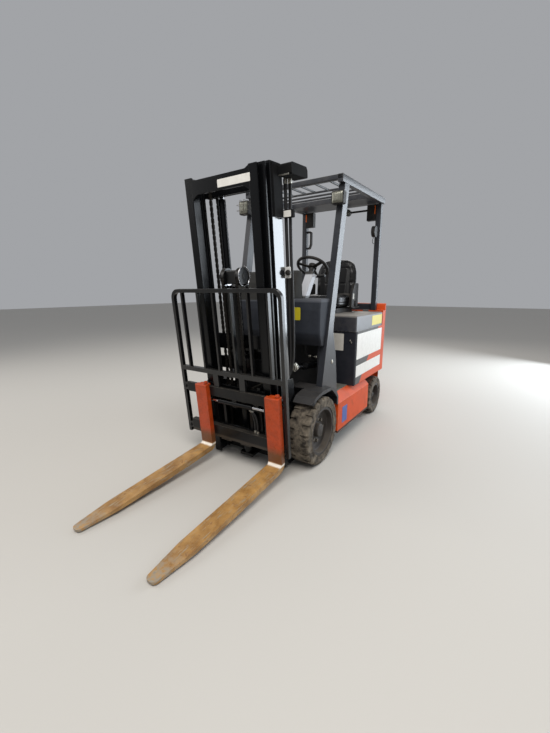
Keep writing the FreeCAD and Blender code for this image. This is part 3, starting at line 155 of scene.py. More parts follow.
# %% Shares, coats and relief
def blotches(material, where, size_mm, low, high, detail=4.0, rough=0.55, least=0.0, most=1.0, distortion=0.0):
    """A share by place: noise about size_mm across, at its least below low and its most above high."""
    cloud = add(material, "ShaderNodeTexNoise", {"Vector": where, "Scale": 1000 / size_mm, "Detail": detail,
                                                 "Roughness": rough, "Distortion": distortion})
    share = add(material, "ShaderNodeMapRange", {"Value": cloud.outputs["Fac"], "From Min": low,
                                                 "From Max": high, "To Min": least, "To Max": most})
    return share.outputs["Result"]


def product(material, share, *others):
    """Shares multiplied together; each is a node's output or a number."""
    for other in others:
        share = add(material, "ShaderNodeMath", {0: share, 1: other}, operation="MULTIPLY").outputs[0]
    return share


def coats(material, ground, *layers):
    """Colours laid over a ground one after another, each by its share from 0 to 1."""
    for share, colour in layers:
        ground = add(material, "ShaderNodeMix", {0: share, 6: ground, 7: colour}, data_type="RGBA").outputs[2]
    return ground


def relief(material, where, size_mm, depth_mm, strength, edge_mm, detail=3.0, rough=0.55, samples=6):
    """The normal with rounded edges, and the same with a relief of noise about size_mm across."""
    rounded = add(material, "ShaderNodeBevel", {"Radius": edge_mm / 1000}, samples=samples).outputs[0]
    cloud = add(material, "ShaderNodeTexNoise", {"Vector": where, "Scale": 1000 / size_mm, "Detail": detail,
                                                 "Roughness": rough})
    bump = add(material, "ShaderNodeBump", {"Height": cloud.outputs["Fac"], "Normal": rounded,
                                            "Distance": depth_mm / 1000, "Strength": strength})
    return rounded, bump.outputs[0]


# %% [markdown]
# ## Paint by place
# One CAD node can carry two colours, such as a panel with a painted corner. A
# mask gives the share of the second colour from where a point lies: past a
# distance along a direction, or between two. The mast's own directions lean with
# it, so distances on the upright mast are counted from where its origin went.

# %% Masks by place
X, Y, Z = (1, 0, 0), (0, 1, 0), (0, 0, 1)
RIGHT = (-1, 0, 0)
UP_ZERO, BACK_ZERO = (float(direction @ mast([0, 0, 0])) * 1000 for direction in (UP, MAST_BACK))


def past(material, where, direction, start_mm, end_mm):
    """A share that rises from 0 at start to 1 at end along a direction of the frame."""
    along = add(material, "ShaderNodeVectorMath", {0: where, 1: tuple(direction)}, operation="DOT_PRODUCT")
    return add(material, "ShaderNodeMapRange", {"Value": along.outputs["Value"], "From Min": start_mm / 1000,
                                                "From Max": end_mm / 1000}).outputs["Result"]


def inside(material, where, *limits):
    """The product of several such shares: 1 only where a point lies past all of them."""
    return product(material, *(past(material, where, *limit) for limit in limits))


def between(direction, low, high, soft=1.0):
    """Two limits for inside: past low and, looking the other way, past minus high."""
    back = tuple(-c for c in direction)
    return ((tuple(direction), low, low + soft), (back, -high, -high + soft))


def on_mast(low, high, soft=1.0):
    """The same between two heights on the upright mast."""
    return between(UP, low + UP_ZERO, high + UP_ZERO, soft)


print("the mast's origin lies", round(UP_ZERO, 1), "mm up its own slope")

# %% [markdown]
# ## Painted steel
# A factory truck is sprayed with two-pack enamel: glossy when new, then dulled
# by dust, rubbed to bare steel on its edges and stained where hands and boots
# touch it. The same recipe serves every painted colour: a colour that drifts
# slightly, smudges, chips along the edges, a film of dust that is thickest on
# faces that look up, and a fine orange peel. An edge is found by comparing the
# rounded normal with the face's own, which differ only near an edge.

# %% Painted steel recipe
# how far across the clouds of each kind of wear are; real orange peel is 1 to 2 mm
# across, too fine to show from here, so it is drawn at 5 mm
CLOUD_MM, SMUDGE_MM, CHIP_MM, DUST_MM, FILM_MM, PEEL_MM = 260, 90, 14, 45, 130, 5
PEEL_DEPTH_MM, SMUDGE_SHADE = 0.6, 0.72


def painted(name, colour, rough=0.38, chips=0.5, chip_colour="#6E655C", dust=0.35, dust_colour="#8A8378",
            drift=0.12, coat=0.0, edge_mm=2.5, gloss=0.5, over=()):
    """Enamel with wear and dust; over lists (limits, colour, metallic) for what is painted otherwise by place."""
    material, shader, where = start(name, rough, Coat_Weight=coat, Coat_Roughness=0.12, Specular_IOR_Level=gloss)
    base = linear(colour)
    rounded, peel = relief(material, where, PEEL_MM, PEEL_DEPTH_MM, 0.08, edge_mm)
    face = add(material, "ShaderNodeNewGeometry", {}).outputs["Normal"]
    agree = add(material, "ShaderNodeVectorMath", {0: rounded, 1: face}, operation="DOT_PRODUCT")
    edge = add(material, "ShaderNodeMapRange", {"Value": agree.outputs["Value"], "From Min": 0.9,
                                                "From Max": 0.985, "To Min": 1, "To Max": 0}).outputs["Result"]
    grit = blotches(material, where, CHIP_MM, 0.5 - 0.12 * chips, 0.62 - 0.12 * chips, 6, 0.7)
    chipped = product(material, edge, grit, min(chips * 1.6, 1.0))
    skyward = add(material, "ShaderNodeSeparateXYZ", {0: face}).outputs["Z"]
    lying = add(material, "ShaderNodeMapRange", {"Value": skyward, "From Min": 0.2, "From Max": 1.0})
    settled = product(material, lying.outputs["Result"],
                      blotches(material, where, DUST_MM, 0.35, 0.7, 7, 0.65, least=0.35), dust * 1.5)
    film = blotches(material, where, FILM_MM, 0.4, 0.75, 8, 0.7)
    veil = add(material, "ShaderNodeMath", {0: film, 1: dust * 0.35, 2: settled},
               operation="MULTIPLY_ADD", use_clamp=True).outputs[0]
    places = [(inside(material, where, *limits), linear(there)) for limits, there, _ in over]
    body = coats(material, shade(base, 1 - drift),
                 (blotches(material, where, CLOUD_MM, 0.3, 0.7, 5), shade(base, 1 + drift)),
                 (blotches(material, where, SMUDGE_MM, 0.52, 0.72, 8, 0.7), shade(base, SMUDGE_SHADE)),
                 *places, (chipped, linear(chip_colour)), (veil, linear(dust_colour)))
    metal = 0.0
    for (mask, _), (_, _, metallic) in zip(places, over):
        if metallic:
            metal = add(material, "ShaderNodeMath", {0: mask, 1: metallic, 2: metal},
                        operation="MULTIPLY_ADD").outputs[0]
    # dust makes the enamel rougher, and bare metal is smoother than it
    dulled = add(material, "ShaderNodeMath", {0: veil, 1: 0.45, 2: rough}, operation="MULTIPLY_ADD").outputs[0]
    polish = add(material, "ShaderNodeMath", {0: metal, 1: -0.75, 2: 1.0}, operation="MULTIPLY_ADD").outputs[0]
    fill(material, shader, {"Base Color": body, "Metallic": metal, "Normal": peel,
                            "Roughness": product(material, dulled, polish)})
    return material


# %% [markdown]
# ## The chassis's enamels
# The truck wears two colours: a warm orange on the sills and the counterweight,
# and a blue-grey so dark that it reads as black in shade. Both are satin, so
# they show soft reflections and no sharp ones. Limits name where a
# second colour lies: a skirt, a corner of a panel, or the worn inner edge of a
# sill.

# %% Chassis enamels
ORANGE, DARK, BLACK = "#C94A18", "#1F2128", "#0D0E10"
# orange enamel: a warm satin colour whose chips are brown primer, not bright steel
BROWN_WEAR = dict(rough=0.5, chips=0.55, chip_colour="#5A4A42", dust=0.15, dust_colour="#8A6A58", gloss=0.22)
orange = painted("orange_enamel", ORANGE, **BROWN_WEAR)
# the counterweight, cast iron under the same orange, with a dark strip across its front
weight_orange = painted("counterweight_enamel", ORANGE, **BROWN_WEAR, over=(
    (between(X, -440, 440, 12) + between(Y, 1300, 1500 + AXLE_SHIFT, 6), "#23262E", 0),))
# the sills: boots scuff their edges to a pale bloom, and their insides stay dark
sill_orange = painted("orange_sill_enamel", ORANGE, 0.5, 0.6, "#E08A5E", 0.12, "#9A6A50", edge_mm=7, gloss=0.2,
                      over=((between(Z, -1, 166, 6), "#2A2624", 0), (between(X, -428, 428), "#2A2826", 0)))
# battery panels: dark enamel that dust greys on the side doors, and the orange of
# the sill, which runs up their sloping front corner
panel_paint = painted("panel_enamel", DARK, 0.5, 0.35, "#7C7870", 0.18, "#6F6B66", gloss=0.25, over=(
    (((X, 500, 501), (Z, 480, 481), (Y, 560, 561)), "#4B4A48", 0),
    (((RIGHT, 500, 501), (Y, 560, 561)), "#4B4A48", 0),
    (((X, 500, 501), ((0, 1, -1.05), 150, 168)), ORANGE, 0),
    (((RIGHT, 500, 501), ((0, 1, -1.05), 150, 168)), ORANGE, 0)))
# the cowl: the dullest paint, flat and a little blue, with a pale rim and a dark foot
navy = painted("dark_blue_enamel", "#2B2F37", 0.68, 0.3, "#7C7870", 0.16, "#6A6762", gloss=0.2, over=(
    (between(Z, 1236, 1266, 4), "#4A4D54", 0), (between(Z, -1, 1000, 60), "#1A1C22", 0)))
# guard pillars and roof: smoother, so they carry a long soft highlight
pillar_grey = painted("dark_grey_enamel", "#2B2D32", 0.32, 0.4, "#8A857D", 0.1, "#6F6B66", coat=0.04, gloss=0.35)
roof_grey = painted("roof_grey_enamel", "#33353A", 0.34, 0.45, "#A09A90", 0.3, gloss=0.4)
# the hood: greyer under its dust than any other panel, and dark on its front face; its pale chips along the wide
# rounded edges are partly wear and partly painted highlight
hood_grey_with_painted_edge_highlight = painted("grey_enamel", "#4A4B4E", 0.36, 0.55, "#B5B0A6", 0.55, edge_mm=6, over=(
    (between(Y, 0, 632 + AXLE_SHIFT, 4) + between(Z, 0, 1096, 6), "#2A2C33", 0),))
fender_grey = painted("fender_grey_enamel", "#232428", 0.45, 0.5, "#6F675C", 0.16, "#5F594F", gloss=0.35)
# the step: grit in the paint for grip, trodden to dull green-grey between dark slots
STEP_SLOTS = (250, 300, 350, 400, 450, 500)
step_paint = painted("step_plate_paint", "#565B52", 0.75, 0.6, "#8A857C", 0.5, "#6F6B62", over=(
    (((Z, 484, 490),), "#1B1C20", 0),
    *((between(Y, y, y + 16) + between(Z, 0, 484), "#1E1F20", 0) for y in STEP_SLOTS)))
print("chassis enamels:", len(bpy.data.materials))

# %% [markdown]
# ## The mast's enamels
# The mast is rolled steel section under a hard black enamel. It is the glossiest
# paint on the truck, so its flanges show bright lines of daylight, and grease
# keeps the dust off. Where rollers and clamps run, the paint is gone and a band
# of bare steel shines.

# %% Mast enamels
SECTION_BLACK = "#090A0C"
mast_black = painted("mast_black_enamel", SECTION_BLACK, 0.24, 0.35, "#433D35", 0.03, "#3B3833", coat=0.05, gloss=0.22)
# the outer web of the left rail: a clear coat that mirrors the daylight beside it, over a base lighter than the mast's
# black that is painted reflection
rail_side_painted_reflection = painted("rail_web_painted_reflection_enamel", "#1E2023", 0.14, 0.2, "#5E574C", 0.03, coat=0.8, gloss=0.5)
backrest_black = painted("backrest_black_enamel", BLACK, 0.3, 0.5, "#57514A", 0.12, "#55514B", coat=0.15)
# the shifter frame: its upper bar is polished by the forks' hooks, and its foot is brown with dirt
shifter_black = painted("shifter_black_enamel", BLACK, 0.3, 0.6, "#6A6256", 0.2, "#5B554C", gloss=0.25, over=(
    (on_mast(522, 554) + between(X, -333, 272), "#C9C9CC", 1.0), (on_mast(150, 262, 12), "#3A342E", 0)))
# the sheaves: the chains keep a ring of bare steel round each of them
sheave_black = painted("crosshead_enamel", SECTION_BLACK, 0.3, 0.35, "#5E574C", 0.1, over=(
    (on_mast(1368, 1402), "#8E8E90", 1.0),))
# below the mast: rims in brown-black primer, axles in bare cast iron, both matt with caked dust
rim_brown = painted("rim_enamel", "#2A2522", 0.55, 0.5, "#7A6B58", 0.5, "#5D5448")
cast_grey = painted("cast_iron_axle", "#1E1D1C", 0.7, 0.3, "#4A453E", 0.5, "#4B463E")
# small painted things: a white bracket, and column covers that have a pale part; the pale grey is kept to the lit part
# of the column, and the rest of that cover is painted black as shadow
white_enamel = painted("white_enamel_bracket", "#D8D8D6", 0.35, 0.3, "#5A554E", 0.2)
# black controls; on the column cover the black round the pale box is painted shadow
column_black_and_painted_shadow = painted("column_covers_black_and_painted_shadow", "#151517", 0.5, 0.1, "#3A3A3A", 0.1, over=(
    (between(Z, 1276, 1468, 12) + between(X, 118, 215), "#B4B6BC", 0),))
print("enamels in all:", len(bpy.data.materials))

# %% [markdown]
# ## Fork steel
# Forks are forged spring steel, painted once. Loads rub the paint off the top
# of the blade, and what is left is a brown-yellow mixture of old paint, light
# rust and polished bare metal, brightest at the heel and the tip. Heights here
# are on the upright mast: the blade's top lies at 164 mm, and the shank rises
# from it.


# %% Fork steel
def fork_finish():
    """Enamel on the shank that fades to brown at the heel, a rubbed blade, a polished heel line and bare tips."""
    material, shader, where = start("worn_fork_steel", 0.5)
    rust = blotches(material, where, 46, 0.54, 0.72, 9, 0.72, distortion=0.4)
    # squeezed across the blade, so that the scratches run along it
    along = add(material, "ShaderNodeMapping", {"Vector": where, "Scale": (6.0, 0.5, 6.0)}).outputs[0]
    streak = blotches(material, along, 60, 0.56, 0.64, 6, 0.6)
    enamel = coats(material, linear("#B24114"),
                   (blotches(material, where, 60, 0.45, 0.75, 8, 0.7), linear("#8A3410")))
    ragged = blotches(material, where, 40, 0, 1, 8, 0.75, least=-0.25, most=0.25)
    fade = add(material, "ShaderNodeMath", {0: past(material, where, UP, 205 + UP_ZERO, 350 + UP_ZERO),
                                            1: ragged}, operation="ADD").outputs[0]
    fade = add(material, "ShaderNodeMapRange", {"Value": fade, "From Min": 0.3, "From Max": 0.75})
    shank = coats(material, linear("#6E4326"), (fade.outputs["Result"], enamel))
    on_shank = past(material, where, UP, 176 + UP_ZERO, 190 + UP_ZERO)
    heel = inside(material, where, *on_mast(164, 182, 4), (MAST_BACK, -466 + BACK_ZERO, -462 + BACK_ZERO))
    tip = past(material, where, -MAST_BACK, 1290 - BACK_ZERO, 1480 - BACK_ZERO)
    scraped = product(material, tip, blotches(material, where, 30, 0.42, 0.56, 7, 0.7))
    steel = coats(material, linear("#8A6434"),
                  (blotches(material, where, 120, 0.35, 0.65, 6, 0.6), linear("#B78E55")),
                  (rust, linear("#6B4526")), (streak, linear("#A79A84")), (on_shank, shank),
                  (heel, linear("#E6DED2")), (scraped, linear("#8E877A")))
    rough = add(material, "ShaderNodeMath", {0: rust, 1: 0.3, 2: 0.38}, operation="MULTIPLY_ADD").outputs[0]
    _, scars = relief(material, where, 9, 0.8, 0.25, 3, 6, 0.7)
    fill(material, shader, {"Base Color": steel, "Metallic": product(material, streak, 0.5),
                            "Roughness": rough, "Normal": scars})
    return material


fork_steel = fork_finish()
print("fork steel nodes:", len(fork_steel.node_tree.nodes))

# %% [markdown]
# ## Rubber, plastic, vinyl and bright metal
# Solid press-on tyres are carbon-black rubber that picks up pale floor dust.
# Switch boxes and covers are moulded ABS with a fine grain. The seat is black
# vinyl with a leather-like emboss. Cylinder rods are hard chrome. All of them
# are one colour with a grain of a real size under a film of dust.


# %% Grained surfaces
def grained(name, colour, rough, size_mm, depth_mm, dust=0.2, dust_colour="#857C6C", metallic=0.0, **sockets):
    """A surface with a grain of a real size and a film of dust."""
    material, shader, where = start(name, rough, metallic, **sockets)
    film = product(material, blotches(material, where, 60, 0.38, 0.72, 8, 0.7), dust)
    body = coats(material, linear(colour), (film, linear(dust_colour)))
    _, grain = relief(material, where, size_mm, depth_mm, 0.35, 2, samples=4)
    fill(material, shader, {"Base Color": body, "Normal": grain})
    return material


# vulcanised rubber: no gloss at all, and paler than black for its dust
tyre_rubber = grained("tyre_rubber", "#2C2824", 0.88, 12, 0.5, 0.85, "#8F8474", Specular_IOR_Level=0.25)
# extruded rubber: a soft line of light along each hose
hose_rubber = grained("hose_rubber", "#0E0E10", 0.5, 4, 0.2, 0.08, "#4A453D")
# moulded ABS: a spark grain that breaks up the highlight, coarser on the dusty binnacle
abs_black = grained("moulded_abs_black", "#151517", 0.55, 2.5, 0.2, 0.12, Specular_IOR_Level=0.25)
binnacle = grained("moulded_binnacle", "#3B3B3A", 0.85, 3, 0.4, 0.25, "#55534E", Specular_IOR_Level=0.1)
# powder-coated sheet: the blackest part, with no highlight
matte_black = grained("matte_sheet_black", "#08090B", 0.8, 3, 0.1, 0.05, "#4A453D", Specular_IOR_Level=0.15)
# embossed vinyl: broad soft highlights on its swells; leather's 1 mm grain is drawn at 3 mm to show
vinyl = grained("seat_vinyl", "#0F0F11", 0.36, 3.0, 0.4, 0.06, "#55514C", Specular_IOR_Level=0.35)
# ground hard chrome: a mirror with sharp bands of light and dark
chrome = grained("hard_chrome_rod", "#C9C9CC", 0.12, 6, 0.02, 0.1, metallic=1.0)
# zinc plate: a blurred grey shine, duller on nuts that have met water and dirt
zinc = grained("zinc_plated_steel", "#A8A59C", 0.35, 4, 0.1, 0.3, metallic=1.0)
zinc_dull = grained("dull_zinc_nuts", "#6E6860", 0.5, 4, 0.1, 0.6, "#4A433A", metallic=0.8)
# oiled steel: dark, with wet glints on the edges of the links
chain_steel = grained("oiled_chain_steel", "#2E2B28", 0.4, 5, 0.2, 0.3, "#1D1A17", metallic=0.7)
# lamp glass over a reflector, drawn as one dull mirror, and clear orange acrylic
lens_glass = grained("ribbed_lamp_lens", "#7C7C72", 0.2, 6, 0.05, 0.25, "#5A574C", metallic=0.6)
amber_lens = grained("amber_acrylic_lens", "#E0641A", 0.15, 4, 0.05, 0.1)
# the belt: a bright-edged plastic buckle and dull woven polyester
buckle_red = grained("buckle_plastic_red", "#7A2A1E", 0.4, 3, 0.1, 0.2)
webbing = grained("belt_webbing_twill", "#1B1B1D", 0.7, 2, 0.4, 0.2)
# cast sign vinyl and laminated card: flat clean colours with a weak sheen
white_vinyl = grained("white_sign_vinyl", "#E4E2DC", 0.4, 3, 0.05, 0.25, "#A39C90")
yellow_vinyl = grained("yellow_sign_vinyl", "#D2C11A", 0.4, 3, 0.05, 0.2, "#A39C60")
card_vinyl = grained("laminated_card", "#C9C6BE", 0.35, 3, 0.05, 0.3, "#8E877C")
blue_vinyl = grained("blue_sign_vinyl", "#2B4C9A", 0.4, 3, 0.05, 0.3, "#6C7488")
print("finishes:", len(bpy.data.materials))

# %% [markdown]
# ## Dress the CAD nodes
# Every rigid node keeps its own shape and takes a finish. The table says which
# nodes wear which; tyres, rims and chains are known by their names.

# %% Finishes of the CAD nodes
WEARS = (
    (orange, "rear_deck"),
    (sill_orange, "chassis_frame"),
    (weight_orange, "counterweight"),
    (panel_paint, "battery_panels"),
    (navy, "cowl"),
    (pillar_grey, "guard_pillars"),
    (roof_grey, "guard_roof"),
    (hood_grey_with_painted_edge_highlight, "hood"),
    (fender_grey, "front_fenders"),
    (step_paint, "floor_step"),
    (column_black_and_painted_shadow, "controls"),
    (abs_black, "guard_fittings steering_wheel seat_base"),
    (vinyl, "seat_cushion seat_back"),
    (cast_grey, "axle_cheeks drive_axle steer_axle knuckle_left knuckle_right battery"),
    (mast_black, "outer_rails middle_rails inner_rails lift_barrels free_lift_barrel carriage_plates "
                 "shift_cylinder tilt_left_barrel tilt_right_barrel"),
    (sheave_black, "crosshead"),
    (shifter_black, "shifter_frame"),
    (backrest_black, "load_backrest"),
    (fork_steel, "fork_left fork_right"),
    (chrome, "lift_rods tilt_left_rod tilt_right_rod"),
)
FINISH = {name: finish for finish, names in WEARS for name in names.split()}
NAMED_FOR = {"tyre": tyre_rubber, "rim": rim_brown, "chain": chain_steel}
for name, node in nodes.items():
    finish = FINISH.get(name) or next(made for part, made in NAMED_FOR.items() if part in name)
    node.data.materials.clear()
    node.data.materials.append(finish)
    node.data.polygons.foreach_set("material_index", np.zeros(len(node.data.polygons), np.int32))
print("dressed:", len(nodes))

# %% [markdown]
# ## Two finishes on one node
# Some nodes are one solid where the real truck has two parts: the mast's valve
# box is matt sheet on a glossy rail, and the cowl carries a moulded binnacle. The
# lower outer web of the left rail also gets a lighter, glossier copy of the mast's
# black, a painted reflection. The faces are picked by where their middles lie, for
# all faces at once.


# %% Second finishes
def second_finish(node, finish, *limits):
    """A finish for the faces whose middles lie between low and high millimetres along each direction."""
    mesh = nodes[node].data
    middles = np.zeros(len(mesh.polygons) * 3)
    mesh.polygons.foreach_get("center", middles)
    middles = middles.reshape(-1, 3) * 1000
    chosen = np.ones(len(middles), bool)
    for direction, low, high in limits:
        along = middles @ np.array(direction, float)
        chosen &= (along > low) & (along < high)
    mesh.materials.append(finish)
    index = np.zeros(len(mesh.polygons), np.int32)
    mesh.polygons.foreach_get("material_index", index)
    index[chosen] = len(mesh.materials) - 1
    mesh.polygons.foreach_set("material_index", index)
    print(node, "faces in", finish.name, int(chosen.sum()))


END = 1e6
BOX_FOOT = 1790 + UP_ZERO
second_finish("outer_rails", matte_black, (X, 331.2, END), (UP, BOX_FOOT, END))
# the lower outer web takes the copy whose lighter base is painted reflection
second_finish("outer_rails", rail_side_painted_reflection, (X, 344.6, 345.2), (UP, -END, BOX_FOOT))
second_finish("cowl", binnacle, (Z, 1268, END), (X, -END, 222))

# %% [markdown]
# ## One way to make a mesh
# Every new piece below is a stack of rings: closed loops of points that a formula
# gives as one array, joined by quads. A plate is a few rounded rectangles, a
# turned part is a few circles, a hose is many circles along a route. Three
# functions make those arrays and a fourth turns them into an object.


# %% Ring shapes
def skin(rings, closed=False):
    """Faces that join each ring to the next; an open stack gets an end face at both ends."""
    count, size = rings.shape[:2]
    first = np.arange(count if closed else count - 1)[:, None] * size
    step = np.arange(size)[None, :]
    above, after = (first + size) % (count * size), (step + 1) % size
    quads = np.stack([first + step, first + after, above + after, above + step], -1).reshape(-1, 4).tolist()
    ends = [] if closed else [list(range(size))[::-1], list(range((count - 1) * size, count * size))]
    return rings.reshape(-1, 3), quads + ends


def turned(profile, centre, axis, sides=28):
    """A lathe: (along, radius) pairs, each a circle of that radius about the axis, that far from the centre."""
    along, radius = np.array(profile, float).T
    angle = np.arange(sides) / sides * 2 * np.pi
    axis = np.array(axis, float) / np.linalg.norm(axis)
    side = np.cross(axis, (0, 0, 1) if abs(axis[2]) < 0.9 else (1, 0, 0))
    side /= np.linalg.norm(side)
    spoke = np.cos(angle)[:, None] * side + np.sin(angle)[:, None] * np.cross(axis, side)
    return skin(np.array(centre, float) + along[:, None, None] * axis + radius[:, None, None] * spoke)


def plate(low, high, thin, corner=4.0, edge=0.5, steps=4):
    """A plate between two corners, thin along one axis: rounded rectangles, the outer two drawn in by the edge."""
    low, high = np.array(low, float), np.array(high, float)
    flat = [k for k in range(3) if k != thin]
    middle, half = (low + high) / 2, (high - low) / 2
    corner = min(corner, *(half[flat] - 0.01))
    edge = min(edge, corner * 0.9, half[thin])
    angle = (np.linspace(0, np.pi / 2, steps + 1) + np.arange(4)[:, None] * np.pi / 2).ravel()
    signs = np.repeat([[1, 1], [-1, 1], [-1, -1], [1, -1]], steps + 1, 0)
    depth = np.array([-half[thin], edge - half[thin], half[thin] - edge, half[thin]])
    radius = corner - np.array([edge, 0, 0, edge])
    rings = np.zeros((4, len(angle), 3))
    around = np.stack([np.cos(angle), np.sin(angle)], -1)
    rings[..., flat] = middle[flat] + signs * (half[flat] - corner) + radius[:, None, None] * around
    rings[..., thin] = middle[thin] + depth[:, None]
    return skin(rings)


def bolt(centre, axis, across, height):
    """A hexagon head on a round washer, both turned about the bolt's axis."""
    r = across / math.sqrt(3)
    head = turned([(1.5, 0), (1.5, r), (height * 0.8, r), (height, r * 0.8), (height, 0)], centre, axis, 6)
    washer = turned([(-2, 0), (-2, r * 1.25), (1.6, r * 1.25), (2.0, r * 1.15), (2.0, 0)], centre, axis, 18)
    return [head, washer]


print("a bolt has", sum(len(faces) for _, faces in bolt((0, 0, 0), Z, 18, 9)), "faces")


# %% From arrays to an object
def piece(name, shapes, finish, body, place=chassis, smooth_deg=32):
    """Join shapes in drawing millimetres to one mesh in the frame, faces outward, riding on a body."""
    points = [place(p) for p, _ in shapes]
    offsets = np.cumsum([0] + [len(p) for p in points[:-1]])
    faces = [[v + int(o) for v in face] for (_, fs), o in zip(shapes, offsets) for face in fs]
    mesh = bpy.data.meshes.new(name)
    mesh.from_pydata(np.concatenate(points).tolist(), [], faces)
    work = bmesh.new()
    work.from_mesh(mesh)
    bmesh.ops.remove_doubles(work, verts=work.verts, dist=1e-6)
    bmesh.ops.recalc_face_normals(work, faces=work.faces)
    work.to_mesh(mesh)
    work.free()
    mesh.polygons.foreach_set("use_smooth", np.ones(len(mesh.polygons), bool))
    mesh.set_sharp_from_angle(angle=math.radians(smooth_deg))
    mesh.materials.append(finish)
    made = bpy.data.objects.new(name, mesh)
    bpy.context.scene.collection.objects.link(made)
    if body:
        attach(made, body)
    return made


# %% [markdown]
# ## Tyres
# The truck runs on solid press-on tyres: a band of rubber on the rim with half
# open notches in both shoulders, set half a pitch apart. The CAD tyre is a plain
# ring, so each one is replaced by a surface of revolution: the columns go round
# the wheel, the rows follow the section, and the radius drops by the notch depth
# wherever a smooth mask says that a notch is.

# %% Tyre surface
NOTCH_DEPTH, NOTCH_HALF, NOTCH_FLANK = 13.0, 8.0, 3.0
NOTCH_EDGE = 4.0


def soft_step(value, low, high):
    """0 below low, 1 above high, smooth between: 3t2 - 2t3 of the clamped share t."""
    t = np.clip((value - low) / (high - low), 0, 1)
    return t * t * (3 - 2 * t)


def tyre(centre_x, centre_y, radius, width, bore, pitches, reach):
    """Radius(angle, row) = section radius - depth * mask(angle) * mask(row); x(row) is the section's."""
    half, lift = width / 2, radius - bore
    # the section, from the bore over the wall and the shoulder to the middle of the tread
    across = np.array([-half, -half, -half + 1.5, -half + 1.5, -half, -half + 2, -half + 8, -half + 16, -half + 30,
                       -half + reach - NOTCH_EDGE, -half + reach, -half + reach + NOTCH_EDGE, 0])
    across = np.concatenate([across, -across[-2::-1]])
    up = np.array([0, 0.10, 0.14, 0.52, 0.56, 0.80, 0.94, 0.99, 1, 1, 1, 1, 1])
    up = bore + lift * np.concatenate([up, up[-2::-1]])
    # columns at the corners of a notch, and again half a pitch on, where the other side has one
    spots = np.array([-NOTCH_HALF - NOTCH_FLANK, -NOTCH_HALF, 0, NOTCH_HALF, NOTCH_HALF + NOTCH_FLANK])
    pitch = 2 * np.pi * radius / pitches
    spots = np.concatenate([spots, [pitch / 4], spots + pitch / 2, [pitch * 3 / 4]])
    arc = (np.arange(pitches)[:, None] * pitch + spots).ravel()
    angle = arc / radius
    near = np.abs((arc[:, None] + [[0, pitch / 2]] + pitch / 2) % pitch - pitch / 2)
    notch = 1 - soft_step(near, NOTCH_HALF, NOTCH_HALF + NOTCH_FLANK)
    side = np.where(across < 0, 0, 1)
    shoulder = soft_step(np.abs(across), half - reach - NOTCH_EDGE, half - reach + NOTCH_EDGE)
    shoulder = shoulder * soft_step(up, bore + lift * 0.55, bore + lift * 0.97)
    r = up - NOTCH_DEPTH * notch[:, side] * shoulder
    rings = np.stack([centre_x + across + 0 * r, centre_y + r * np.cos(angle)[:, None],
                      radius + r * np.sin(angle)[:, None]], -1)
    return skin(rings, closed=True)


# %% Four tyres
SIDES = (("left", 1), ("right", -1))
# columns: axle, distance from the middle, Y, radius, width, bore, pitches, notch reach
TYRES = (("front", 450.0, 0.0, 266.5, 178.0, 190.5, 22, 58.0),
         ("rear", 452.0, 1370.0, 203.0, 127.0, 133.5, 17, 42.0))
for axle, x, y, radius, width, bore, pitches, reach in TYRES:
    for side, sign in SIDES:
        made = piece(f"{axle}_{side}_notched_tyre", [tyre(sign * x, y, radius, width, bore, pitches, reach)],
                     tyre_rubber, f"{axle}_wheel_{side}", smooth_deg=40)
        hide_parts(f"{axle}_{side}_tyre")
print("tyre faces:", len(made.data.polygons))

# %% [markdown]
# ## Guard roof
# The roof is a frame of flat beams with daylight between the thin bars, seen from
# below. The CAD beams are boxes of one height; these are the same beams at the
# heights that the daylight shows. The roof rises a little to the rear.

# %% Guard roof
ROOF_RISE, ROOF_FRONT, ROOF_TOP = math.radians(2.37), 375.0, 2192.0


def on_roof(points):
    """Roof millimetres, drawn level, turned about the top of the front edge, then to the frame."""
    return chassis(turned_about_x(points, ROOF_RISE, ROOF_FRONT, ROOF_TOP))


# columns: low corner, high corner, the axis the section is swept along
ROOF_BARS = [((421, 375, 2134), (466, 1470, 2192), 1), ((-466, 375, 2134), (-421, 1470, 2192), 1),
             ((-464, 375, 2154), (464, 419, 2191), 0), ((-426, 1110, 2142), (426, 1470, 2189), 1)]
ROOF_BARS += [((-426, y, 2168), (426, y + 22, 2184), 0) for y in (739, 866, 989)]
ROOF_BARS += [((x - 7, 412, 2168), (x + 7, 745, 2186), 1) for x in (-314, -180, -48, 48, 180, 314)]
made = piece("guard_roof_beams", [plate(low, high, thin, 5, 1.5) for low, high, thin in ROOF_BARS],
             roof_grey, "chassis", on_roof)
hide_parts("guard_roof")
print("roof beams:", len(ROOF_BARS))

# %% [markdown]
# ## Wheel nuts
# The rims are bolted through their dish by eight nuts; the rear wheels are the
# same at a smaller size. Their places are one array: a circle of eight angles.

# %% Wheel nuts
NUTS = 8
# columns: radius of the nuts' circle, how far the dish stands out, size across flats
for (axle, x, y, radius, *_), (spread, face, across) in zip(TYRES, ((88.0, 27.0, 26.0), (62.0, 2.0, 22.0))):
    for side, sign in SIDES:
        turn = np.arange(NUTS) / NUTS * 2 * np.pi
        spots = np.stack([np.full(NUTS, sign * (x + face)), y + spread * np.cos(turn),
                          radius + spread * np.sin(turn)], -1)
        nuts = [shape for spot in spots for shape in bolt(spot, (sign, 0, 0), across, 16)]
        piece(f"{axle}_{side}_wheel_nuts", nuts, zinc_dull, f"{axle}_wheel_{side}")
print("nuts on a wheel:", len(spots))

# %% [markdown]
# ## Leaf chains
# A lift chain is stacks of oval plates on pins, every second link one plate
# fewer. A link has few faces, because there are hundreds: one plate is an eight
# sided oval, and the whole chain is that plate at rows of offsets. A strand joins
# two bodies that slide apart; here it is drawn where the upright mast puts it and
# rides on neither.

